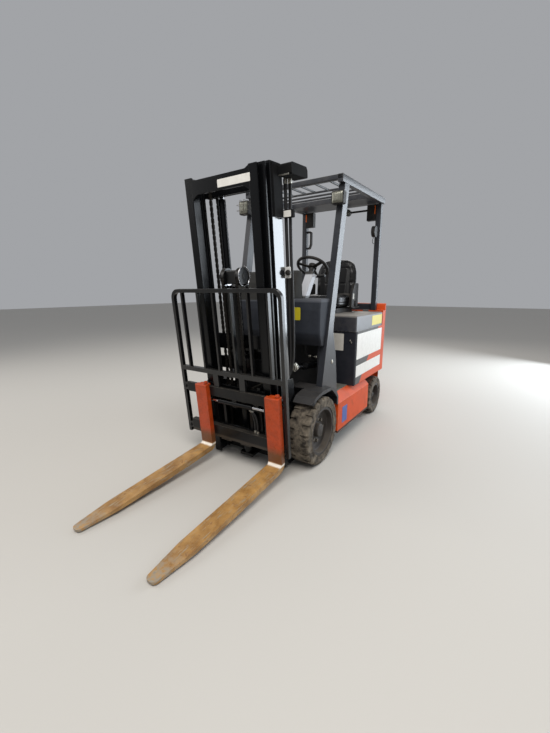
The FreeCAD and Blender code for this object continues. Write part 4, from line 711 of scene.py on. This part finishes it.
# %% Leaf chain strand
LINK_PITCH, LINK_DEEP, CHAIN_WIDE, PIN_RADIUS = 19.05, 12.0, 24.0, 3.4
PLATE_HALF, FOUR_PLATES, THREE_PLATES = 1.4, (-9.6, -3.2, 3.2, 9.6), (-6.4, 0.0, 6.4)


def leaf_chain(x, y, low, high):
    """Plates at x offsets, one set for even links and one for odd, at every pitch up the strand."""
    angle = (np.arange(8) + 0.5) / 8 * 2 * np.pi
    round_y, round_z = (LINK_DEEP / 2 * wave(angle) / np.cos(np.pi / 8) for wave in (np.cos, np.sin))
    oval = np.stack([round_y, round_z + np.sign(round_z) * LINK_PITCH / 2], -1)
    count = int((high - low) / LINK_PITCH)
    shapes = []
    for k in range(count):
        z = low + (k + 0.5) * (high - low) / count
        for offset in FOUR_PLATES if k % 2 else THREE_PLATES:
            rings = np.zeros((2, 8, 3))
            rings[..., 0] = x + offset + np.array([[-PLATE_HALF], [PLATE_HALF]])
            rings[..., 1], rings[..., 2] = y + oval[:, 0], z + oval[:, 1] * 0.96
            shapes.append(skin(rings))
        pin = [(-CHAIN_WIDE / 2, PIN_RADIUS), (CHAIN_WIDE / 2, PIN_RADIUS)]
        shapes.append(turned(pin, (x, y, z + LINK_PITCH / 2), X, 6))
    return shapes


# %% Leaf chains
# columns: node, bodies at its low and high end, distance from the middle, Y, low and high end on the upright mast
CHAINS = (("chain_outer_middle", "mast_outer", "mast_middle", 211, -119, 829, 2036),
          ("chain_middle_inner", "mast_inner", "mast_middle", 211, -191, 160, 2036),
          ("chain_inner_crosshead", "mast_inner", "crosshead", 66, -206, 1066, 1450),
          ("chain_crosshead_carriage", "carriage", "crosshead", 66, -310, 650, 1450))
for node, low_body, high_body, x, y, low, high in CHAINS:
    made = piece(node.replace("chain", "leaf_chain"), leaf_chain(x, y, low, high) + leaf_chain(-x, y, low, high),
                 chain_steel, None, mast)
    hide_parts(node)
    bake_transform(made)
    print(made.name, "faces:", len(made.data.polygons))

# %% [markdown]
# ## Seat
# The seat is foam under sewn vinyl. A cushion starts as a stack of rounded
# rectangles, a little smaller than it should end. A voxel remesh gives it even
# faces, a pressure cloth simulation swells it between its edges, and the sewn
# channels are pressed in afterwards, because a remesh would lose them.


# %% Padded shape
def soft_block(foot, rise, half, levels):
    """Superellipses of power 5, |x/a|^5 + |y/b|^5 = 1, at (height share, size share) levels from the foot."""
    angle = np.arange(64) / 64 * 2 * np.pi
    around = np.stack([np.cos(angle), np.sin(angle), 0 * angle], -1)
    around = np.sign(around) * np.abs(around) ** 0.4 * np.array([*half, 0])
    up, share = np.array(levels).T[..., None, None]
    return skin(np.array(foot, float) + up * np.array(rise, float) + around * share)


def points_of(mesh):
    """A mesh's vertices as one array of rows."""
    points = np.zeros(len(mesh.vertices) * 3)
    mesh.vertices.foreach_get("co", points)
    return points.reshape(-1, 3)


# %% Foam: even faces, then a capped swell
VOXEL_M, PRESSURE, SWELL_FRAMES = 0.006, 4.0, 20


def evened(made, finish):
    """The object's mesh after a voxel remesh, as its own mesh, and its points."""
    even = made.modifiers.new("even", "REMESH")
    even.mode, even.voxel_size, even.use_smooth_shade = "VOXEL", VOXEL_M, True
    mesh = bpy.data.meshes.new_from_object(made.evaluated_get(bpy.context.evaluated_depsgraph_get()))
    made.modifiers.clear()
    mesh.materials.clear()
    mesh.materials.append(finish)
    made.data = mesh
    return mesh, points_of(mesh)


def swollen(made, rest, cap_mm):
    """The points after twenty frames of pressure cloth, none moved by more than the cap."""
    cloth = made.modifiers.new("swell", "CLOTH")
    cloth.settings.use_pressure, cloth.settings.uniform_pressure_force = True, PRESSURE
    cloth.settings.effector_weights.gravity = 0.0
    for frame_number in range(1, SWELL_FRAMES + 1):
        bpy.context.scene.frame_set(frame_number)
    move = points_of(made.evaluated_get(bpy.context.evaluated_depsgraph_get()).data) - rest
    made.modifiers.clear()
    bpy.context.scene.frame_set(1)
    far = np.linalg.norm(move, axis=1, keepdims=True) + 1e-9
    return rest + move * np.minimum(1, cap_mm / 1000 / far)


def stuffed(name, shape, finish, cap_mm, seams, keep_above=-math.inf):
    """A padded piece: even faces, a capped swell, and channels pressed in along the normals; flat underneath."""
    made = piece(name, [shape], finish, "hood_lid")
    mesh, rest = evened(made, finish)
    points = swollen(made, rest, cap_mm)
    mesh.vertices.foreach_set("co", points.ravel())
    mesh.update()
    normals = np.zeros(len(points) * 3)
    mesh.vertex_normals.foreach_get("vector", normals)
    pressed = seams(points * 1000 - np.array([0, AXLE_SHIFT, 0]))[:, None] / 1000
    points = points - normals.reshape(-1, 3) * pressed
    points[:, 2] = np.maximum(points[:, 2], keep_above / 1000)
    mesh.vertices.foreach_set("co", points.ravel())
    mesh.polygons.foreach_set("use_smooth", np.ones(len(mesh.polygons), bool))
    finer = made.modifiers.new("finer", "SUBSURF")
    finer.levels = finer.render_levels = 1
    print(name, "has", len(rest), "vertices")
    return made


# %% [markdown]
# ## Sewn channels
# A seam pulls the vinyl down to the foam's backing along a line, and the foam
# rises on both sides. So a channel is a bell curve of the distance from its
# line, and each line is a plane, kept to the part of the pad where it is sewn.
# The side bolsters stand higher, so the middle is let down a little as well.

# %% Where the seams run
SEAT_X, SEAM_DEPTH, SEAM_WIDE = 40.0, 5.0, 6.0
FAR_OFF = 99


def groove(distance, where=True):
    """A sewn channel: depth times exp(-(distance / width) squared), only where it is sewn."""
    return SEAM_DEPTH * np.exp(-(np.where(where, distance, FAR_OFF) / SEAM_WIDE) ** 2)


def cushion_seams(p):
    """Two seams that run back beside the seat's middle panel, one across its rear, and the piping low down."""
    x, y, z = np.abs(p[:, 0] - SEAT_X), p[:, 1], p[:, 2]
    runs = groove(x - 128, z > 1215) + groove(y - 1120, (x < 128) & (z > 1230))
    return runs + groove(z - 1205) * 0.7 - 9 * soft_step(x, 130, 175) * soft_step(z, 1235, 1255)


def back_seams(p):
    """Seams beside the middle panel, one under the head panel, one across, and the piping seam round the rear."""
    x, y, z = np.abs(p[:, 0] - SEAT_X), p[:, 1], p[:, 2]
    front = y < 1318
    runs = groove(x - 118 - (z - 1400) * 0.06, front & (z < 1560))
    runs += groove(z - 1560, front & (x < 190)) + groove(z - 1400, front) * (x < 118)
    rim = groove(y - (1325 + (z - 1284) * 0.05)) * 0.8
    return runs + rim - 10 * soft_step(x, 130, 175) * front * (1 - soft_step(z, 1500, 1600))


# %% Cushion and back
PAD_LEVELS = ((0.0, 0.86), (0.05, 0.93), (0.14, 0.975), (0.3, 1.0), (0.7, 1.0), (0.86, 0.975), (0.95, 0.93),
              (1.0, 0.86))
cushion = stuffed("seat_cushion_padded", soft_block((SEAT_X, 1052, 1169), (0, 0, 98), (224, 208), PAD_LEVELS),
                  vinyl, 12, cushion_seams, 1163)
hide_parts("seat_cushion")
# the back narrows to its top along another superellipse, of power 3.4
HEAD_POWER = 3.4
BACK_LEVELS = tuple((w, (1 - max(0, (w - 0.5) / 0.5) ** HEAD_POWER) ** (1 / HEAD_POWER) * min(1, 0.9 + w * 1.25))
                    for w in (0, 0.04, 0.08, 0.2, 0.35, 0.5, 0.6, 0.7, 0.78, 0.85, 0.91, 0.95, 0.98, 0.995))
backrest = stuffed("seat_back_padded", soft_block((SEAT_X, 1302, 1200), (0, 26, 459), (226, 38), BACK_LEVELS),
                   vinyl, 14, back_seams)
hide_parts("seat_back")

# %% [markdown]
# ## Blank plates, tape and tags
# Thin vinyl or card with rounded corners and a little dirt. They stay blank. Each
# stands about a millimetre off its panel, so that both surfaces stay clear of
# each other.

# %% Plates
PLATES = (
    # name, low corner, high corner, thin axis, corner radius, finish, body, place
    ("mast_board", (-10, -336.4, 2001), (248, -335.1, 2047), 1, 3, white_vinyl, "mast_inner", mast),
    ("side_board", (535.1, 664, 712), (536.1, 1392, 945), 0, 10, white_vinyl, "chassis", chassis),
    ("side_strip", (535.1, 664, 548), (536.1, 1390, 655), 0, 6, white_vinyl, "chassis", chassis),
    ("hood_strip", (535.1, 1052, 992), (536.1, 1372, 1086), 0, 4, yellow_vinyl, "hood_lid", chassis),
    ("panel_card", (298, 630.8, 793), (420, 631.9, 947), 1, 6, card_vinyl, "chassis", chassis),
    ("cowl_tag", (221, 72.6, 1100), (281, 73.8, 1198), 1, 8, yellow_vinyl, "chassis", chassis),
    ("sill_tag", (535.1, 378, 205), (536.1, 488, 350), 0, 6, blue_vinyl, "chassis", chassis),
    ("clamp_band", (339.5, -141, 1802), (404, -139.2, 1840), 1, 3, white_vinyl, "mast_outer", mast),
)
for name, low, high, thin, corner, finish, body, place in PLATES:
    piece(name, [plate(low, high, thin, corner, 0.4)], finish, body, place)
print("plates:", len(PLATES))

# %% [markdown]
# ## Lamps
# Work lamps are a moulded box with a ribbed lens. The lens is a shallow dome on
# a rounded rectangle with upright flutes: its depth falls off towards the rim
# and a cosine of X adds the flutes. The CAD model has the boxes, so the bezel, a
# plate with a wide rounded edge, and the lens are added.

# %% Lens surface
FLUTES, FLUTE_DEPTH, LENS_STAND = 9, 0.8, 2.5


def fluted_lens(low, high, y, bulge):
    """Depth(u, v) = bulge (1 - u4)(1 - v4) + stand + flute depth * cos(flutes * pi * u), 0 at the rim, on a slab."""
    u, v = np.linspace(-1, 1, 46), np.linspace(-1, 1, 20)
    uu, vv = np.meshgrid(u, v)
    x = (low[0] + high[0]) / 2 + uu * (high[0] - low[0]) / 2 * (1 - 0.02 * vv ** 8)
    z = (low[1] + high[1]) / 2 + vv * (high[1] - low[1]) / 2 * (1 - 0.02 * uu ** 8)
    dome = bulge * (1 - uu ** 4) * (1 - vv ** 4) + LENS_STAND + FLUTE_DEPTH * np.cos(FLUTES * np.pi * uu)
    front = y - (1 - uu ** 8) * (1 - vv ** 8) * dome
    points = np.stack([np.stack([x, front, z], -1), np.stack([x, y + 0 * x + 1, z], -1)]).reshape(-1, 3)
    grid = np.arange(uu.size).reshape(uu.shape)
    quads = np.stack([grid[:-1, :-1], grid[:-1, 1:], grid[1:, 1:], grid[1:, :-1]], -1).reshape(-1, 4)
    back = quads[:, ::-1] + uu.size
    rim = np.concatenate([grid[0, :-1], grid[:-1, -1], grid[-1, :0:-1], grid[:0:-1, 0]])
    after = np.roll(rim, -1)
    wall = np.stack([rim, rim + uu.size, after + uu.size, after], -1)
    return points, np.concatenate([quads, back, wall]).tolist()


# %% Headlamps
for side, low, high in (("left", (404, 1973), (492, 2054)), ("right", (-492, 1998), (-404, 2096))):
    bezel = plate((low[0] - 4, 318.0, low[1] - 4), (high[0] + 4, 323.0, high[1] + 4), 1, 12, 2)
    piece(f"headlamp_{side}_bezel", [bezel], abs_black, "chassis")
    made = piece(f"headlamp_{side}_lens", [fluted_lens(low, high, 318.5, 6)], lens_glass, "chassis")
print("lens faces:", len(made.data.polygons))

# %% [markdown]
# ## Wire, hose and cable
# Wire and hose are one shape at different sizes: a circle carried along a route.
# The route is a NURBS line, which stays smooth between its control points and
# starts and ends at them. At each point of it the circle stands square to the
# line's direction, which the differences between the points give.


# %% Along a route
def route(points):
    """Points along a smooth NURBS line of order 3 with the given control points, in the same units."""
    curve = bpy.data.curves.new("route", "CURVE")
    curve.dimensions = "3D"
    spline = curve.splines.new("NURBS")
    spline.points.add(len(points) - 1)
    spline.points.foreach_set("co", np.c_[np.array(points, float), np.ones(len(points))].ravel())
    spline.order_u, spline.use_endpoint_u, spline.resolution_u = 3, True, 10
    holder = bpy.data.objects.new("route", curve)
    line = points_of(bpy.data.meshes.new_from_object(holder))
    bpy.data.objects.remove(holder)
    return line


def hose(points, diameter, across=X, sides=12):
    """Circles along a route; across is a direction that no part of the route runs along."""
    line = route(points)
    along = np.gradient(line, axis=0)
    along /= np.linalg.norm(along, axis=1, keepdims=True)
    side = np.cross(along, np.array(across, float))
    side /= np.linalg.norm(side, axis=1, keepdims=True)
    up = np.cross(along, side)
    angle = np.arange(sides)[None, :, None] / sides * 2 * np.pi
    return skin(line[:, None] + diameter / 2 * (np.cos(angle) * side[:, None] + np.sin(angle) * up[:, None]))


# %% Sheave ring
# a round steel guard that keeps the chain on its sheave: an ellipse in the mast's own plane
ring = np.linspace(0, 2 * np.pi, 33)
ring_line = np.stack([np.full(33, 85.0), -258 + 61 * np.cos(ring), 1450 + 66 * np.sin(ring)], -1)
piece("sheave_guard_ring", [hose(ring_line, 6)], chrome, "crosshead", mast)
print("ring points:", len(ring_line))

# %% Wire guard of the right lamp
WIRE, GUARD_Y, BEND_Y, FOOT_Y = 3.2, 290, 298, 322
wires = [hose([(x, FOOT_Y, 1984), (x, BEND_Y, 1984), (x, GUARD_Y, 1994), (x, GUARD_Y, 2047), (x, GUARD_Y, 2100),
               (x, BEND_Y, 2110), (x, FOOT_Y, 2110)], WIRE) for x in (-470, -426)]
wires += [hose([(-506, 325, z), (-508, BEND_Y, z), (-500, GUARD_Y, z), (-448, GUARD_Y - 3, z), (-396, GUARD_Y, z),
                (-388, BEND_Y, z), (-390, 325, z)], WIRE, Z) for z in (2022, 2068)]
piece("headlamp_right_wire_guard", wires, zinc_dull, "chassis")
print("wires:", len(wires))

# %% Rear lamps and the lamp on the arm
for side, low_x, high_x in (("left", 386, 394.5), ("right", -402, -388)):
    amber = plate((low_x, 1396.5, 2084), (high_x, 1400.5, 2164), 1, 3, 1)
    piece(f"rear_lamp_{side}_amber_lens", [amber], amber_lens, "chassis")
dome = turned([(0, 0), (0, 29), (4, 28), (8, 20), (9.5, 0)], (91, 1409, 2132), (0, -1, 0), 32)
made = piece("arm_lamp_lens", [dome], lens_glass, "chassis")
print("arm lamp lens faces:", len(made.data.polygons))

# %% [markdown]
# ## Hoses and fittings
# Hydraulic hoses are smooth rubber with steel fittings. Their ends go into the
# block or plate that holds them, so none hangs free. The pair on the mast runs
# down the outer rail through a clamp and past a white bracket, and the pair on
# the carriage feeds the side shift cylinder.

# %% Mast hoses
MAST_HOSE, SHIFT_HOSE = 22, 13
mast_hoses = [hose(points, MAST_HOSE, (0.2, 1, 0)) for points in (
    [(350, -104, 2040), (350, -104, 1960), (347, -106, 1840), (345, -106, 1640), (345, -108, 1400),
     (345, -110, 1150), (345, -116, 900), (334, -128, 742), (322, -132, 700)],
    [(374, -86, 2040), (374, -86, 1960), (370, -88, 1840), (367, -92, 1640), (367, -94, 1400),
     (366, -97, 1150), (364, -104, 900), (346, -114, 762), (322, -118, 728)])]
piece("mast_hoses", mast_hoses, hose_rubber, "mast_outer", mast)
COLLAR = [(-14, 0), (-14, 13.5), (14, 13.5), (14, 0)]
collars = [turned(COLLAR, (x, y, 2014), Z, 6) for x, y in ((350, -104), (374, -86))]
piece("mast_hose_fittings", collars, zinc, "mast_outer", mast)
print("mast hoses:", len(mast_hoses))

# %% What holds the mast hoses
clamp = [plate((332, -124, 1800), (404, -84, 1848), 2, 8, 3), plate((360, -104, 1806), (392, -70, 1842), 2, 6, 3)]
piece("mast_hose_clamp", clamp, matte_black, "mast_outer", mast)
bracket = [plate((332, -139, 1425), (384, -134, 1498), 1, 5, 1.2),
           plate((332, -136, 1440), (338, -92, 1484), 0, 5, 1.2)]
piece("mast_hose_bracket", bracket, white_enamel, "mast_outer", mast)
knob = turned([(0, 0), (0, 17), (10, 19), (16, 17), (19, 9), (20, 0)], (368, -138, 1461), (0, -1, 0), 20)
piece("mast_hose_bracket_knob", [knob], abs_black, "mast_outer", mast)
strip = plate((345, -191.5, 2028), (431, -188.5, 2037), 1, 2, 0.8)
piece("hose_box_strip", [strip], zinc, "mast_outer", mast)
print("knob faces:", len(knob[1]))

# %% Side shift hoses
shift_hoses = [hose(points, SHIFT_HOSE, (0.1, 1, 0)) for points in (
    [(148, -371, 506), (162, -373, 500), (180, -374, 478), (191, -375, 446), (195, -375, 410), (195, -374, 376),
     (190, -370, 345)],
    [(138, -366, 500), (150, -368, 486), (162, -369, 450), (167, -369, 410), (163, -366, 345)])]
piece("side_shift_hoses", shift_hoses, hose_rubber, "carriage", mast)
NIPPLE = [(-16, 0), (-16, 9), (-4, 11), (4, 11), (16, 8.5), (16, 0)]
fittings = [turned(NIPPLE, spot, axis, 6) for spot, axis in (
    ((148, -370, 507), (1, 0, -0.3)), ((138, -366, 502), (1, 0, -0.6)), ((190, -370, 340), (0, 0.1, 1)),
    ((163, -366, 340), (0, 0.1, 1)))]
piece("side_shift_fittings", fittings, zinc, "carriage", mast)
print("side shift hoses:", len(shift_hoses))

# %% [markdown]
# ## Cowl, cable and steering column
# A short hose crosses the cowl's front in two clips, a thin cable feeds the
# reversing alarm, and a rubber boot with seven folds closes the floor where the
# steering column goes through. The boot is turned about the column's own slope.

# %% Cowl hose and alarm cable
cowl_hose = hose([(262, 205, 912), (262, 205, 860), (268, 204, 812), (300, 203, 799), (334, 203, 797), (370, 203, 799),
                  (398, 204, 812), (404, 205, 860), (404, 205, 912)], 15, Y)
piece("cowl_hose", [cowl_hose], hose_rubber, "chassis")
CLIP = [(-11, 0), (-11, 12), (-7, 14), (7, 14), (11, 12), (11, 0)]
clips = [turned(CLIP, (x, 203, 798), X, 16) for x in (305, 360)]
piece("cowl_hose_clips", clips, zinc, "chassis")
alarm_cable = hose([(413, 1346, 1866), (412, 1330, 1846), (410, 1312, 1822), (409, 1318, 1798), (410, 1340, 1788),
                    (412, 1364, 1796), (413, 1388, 1820), (413, 1402, 1842), (413, 1412, 1850)], 6)
piece("alarm_cable", [alarm_cable], hose_rubber, "chassis")
print("cable rings:", len(alarm_cable[0]) // 12)

# %% Column boot and key
COLUMN_LEAN, WHEEL_CENTRE, BOOT_DOWN = math.radians(34), np.array([140, 530, 1518]), 308
column = np.array([0, -math.sin(COLUMN_LEAN), -math.cos(COLUMN_LEAN)])
folds = [(k * 9.0, 34 + (7 if k % 2 else 0) + k * 0.9) for k in range(7)]
boot = turned([(0, 0), *folds, (56, 0)], WHEEL_CENTRE + column * BOOT_DOWN, column, 32)
piece("column_boot", [boot], hose_rubber, "chassis")
key = turned([(0, 0), (0, 9), (8, 11), (26, 13), (34, 10), (36, 0)], (168, 92, 1452), (0, -1, 0.2), 20)
piece("key_knob", [key], abs_black, "chassis")
print("column turned about", np.round(column, 3))

# %% [markdown]
# ## Bolts, pins and latches
# Zinc-plated hexagon bolts hold the plates on, and pins with domed ends carry
# the tilt cylinders. Each is turned about its own axis. The backrest's bolts are
# painted over with it.


# %% Bolts
def roof_top_at(y):
    """The height of the roof's sloping top: its front edge's plus distance times the tangent of the slope."""
    return ROOF_TOP + (y - ROOF_FRONT) * math.tan(ROOF_RISE)


BOLTS = (
    # name, body, finish, place, axis, across flats, height, spots
    ("side_plate_bolts", "mast_outer", zinc, mast, X, 20, 8, [(340, -157, z) for z in (688, 400, 72)]),
    ("side_plate_bolts_right", "mast_outer", zinc, mast, RIGHT, 20, 8, [(-340, -157, z) for z in (688, 400, 72)]),
    ("roof_bolts", "chassis", zinc, chassis, Z, 18, 9, [(444, y, roof_top_at(y)) for y in (935, 1098)]),
    ("backrest_bolts", "shifter", mast_black, mast, (0, -1, 0), 22, 9,
     [(x, -392, z) for x in (-491, 431) for z in (615, 268)]),
    ("battery_panel_studs", "chassis", zinc, chassis, (0, -1, 0), 11, 8, [(480, 632, 888), (492, 632, 872)]),
)
for name, body, finish, place, axis, across, height, spots in BOLTS:
    heads = [shape for spot in spots for shape in bolt(spot, axis, across, height)]
    piece(name, heads, finish, body, place)
print("bolt groups:", len(BOLTS))

# %% Pins, plugs and latches
PIN = [(-2, 0), (-2, 34), (2, 34), (3, 27), (12, 26), (15, 18), (22, 16), (25, 0)]
PLUG = [(-1, 0), (-1, 17), (3, 17), (5, 13), (7, 12), (8, 0)]
LATCH = [(0, 0), (0, 11), (10, 11), (12, 15), (24, 15), (27, 9), (28, 0)]
for (side, sign), latch_x in zip(SIDES, (406, -245)):
    out = (sign, 0, 0)
    pin = [turned(PIN, (sign * 328, -30, 765), out, 32)] + bolt((sign * 334, -30, 788), out, 12, 5)
    piece(f"tilt_pin_{side}", pin, zinc, "mast_outer", mast)
    plug = turned(PLUG, (sign * 466, 281, 757), out)
    piece(f"pillar_plug_{side}", [plug], zinc, "chassis")
    latch = turned(LATCH, (latch_x, -412, 667), Z, 20)
    piece(f"fork_latch_{side}", [latch], fork_steel, "shifter", mast)
print("pins turned from", len(PIN), "points")

# %% [markdown]
# ## Belt and buckle
# The lap belt is retracted: the tongue rests on the retractor beside the left
# hip, and the buckle stands on the other side of it. Webbing is a flat ribbon
# along a route. Its twill weave is too fine to show at this distance, so it is
# drawn a little coarser than the real one.

# %% Belt and buckle
piece("belt_buckle", [plate((283, 1126, 1196), (297, 1166, 1262), 0, 9, 4)], buckle_red, "hood_lid")
piece("belt_tongue", [plate((299, 1130, 1238), (302, 1160, 1296), 0, 6, 1)], zinc, "hood_lid")
piece("belt_retractor", [plate((276, 1180, 1162), (312, 1240, 1226), 0, 12, 5)], abs_black, "hood_lid")
line = route([(300, 1196, 1200), (296, 1150, 1240), (262, 1110, 1292), (212, 1076, 1292), (160, 1052, 1286)])
half_wide, thick = np.array([0.25, 0.9, 0.35]) * 23, np.array([0, 0, 1.0])
band = np.stack([line - half_wide, line + half_wide, line + half_wide + thick, line - half_wide + thick], 1)
piece("belt_webbing", [skin(band)], webbing, "hood_lid")
print("belt length in mm:", round(float(np.linalg.norm(np.diff(line, axis=0), axis=1).sum())))

# %% [markdown]
# ## Floor, light and camera
# A pale floor and large soft lights show the form without a setting. The camera
# stands at chest height in front of the truck's left corner, with a wide lens
# close to the forks, which makes them long and the counterweight small.

# %% Floor
FLOOR_HALF = 30.0
floor_mesh = bpy.data.meshes.new("floor")
corners = [(x * FLOOR_HALF, y * FLOOR_HALF, -0.0005) for x, y in ((-1, -1), (1, -1), (1, 1), (-1, 1))]
floor_mesh.from_pydata(corners, [], [(0, 1, 2, 3)])
floor = bpy.data.objects.new("floor", floor_mesh)
bpy.context.scene.collection.objects.link(floor)
# sealed concrete: pale and matt, so it fills the shadows with soft light
concrete, concrete_shader, _ = start("pale_floor", 0.75)
fill(concrete, concrete_shader, {"Base Color": linear("#BEBBB5")})
floor_mesh.materials.append(concrete)
print("floor metres:", 2 * FLOOR_HALF)

# %% Light
world = bpy.data.worlds.new("studio")
bpy.context.scene.world = world
world.use_nodes = True
world.node_tree.nodes["Background"].inputs["Color"].default_value = (0.86, 0.88, 0.92, 1)
world.node_tree.nodes["Background"].inputs["Strength"].default_value = 0.42

WARM, COOL = (1.0, 0.97, 0.93), (0.84, 0.92, 1.0)
AIM = Vector((0, -0.3, 0.9))
# columns: name, place, size in metres, watts, colour
LIGHTS = (
    ("key", (2.0, -3.0, 5.5), 3.5, 300, WARM),
    ("fill", (-5.0, -2.5, 4.0), 4.0, 110, WARM),
    ("side", (3.4, 4.6, 1.9), 3.2, 210, COOL),
    ("back", (-1.5, 5.5, 4.5), 4.0, 130, WARM),
)
for name, place, size, watts, colour in LIGHTS:
    lamp = bpy.data.lights.new(name, "AREA")
    lamp.color, lamp.size, lamp.energy = colour, size, watts
    stand = bpy.data.objects.new(name, lamp)
    bpy.context.scene.collection.objects.link(stand)
    stand.location = place
    stand.visible_camera = False
    stand.rotation_euler = (AIM - Vector(place)).to_track_quat("-Z", "Y").to_euler()
print("lights:", len(LIGHTS))

# %% Camera
LENS_MM, SENSOR_MM = 16.91, 36.0
EYE_MM, TILT_DEG, ROLL_DEG, TURN_DEG = [1590.6, -2284.9, 1322.7], 90 - 12.37, 0.1, 33.21
camera_data = bpy.data.cameras.new("camera")
camera_data.lens, camera_data.sensor_width = LENS_MM, SENSOR_MM
camera = bpy.data.objects.new("camera", camera_data)
bpy.context.scene.collection.objects.link(camera)
camera.location = Vector(chassis(EYE_MM))
camera.rotation_euler = [math.radians(angle) for angle in (TILT_DEG, ROLL_DEG, TURN_DEG)]
bpy.context.scene.camera = camera
bpy.context.scene.view_settings.view_transform = "Standard"
print("camera at", [round(c, 2) for c in camera.location])
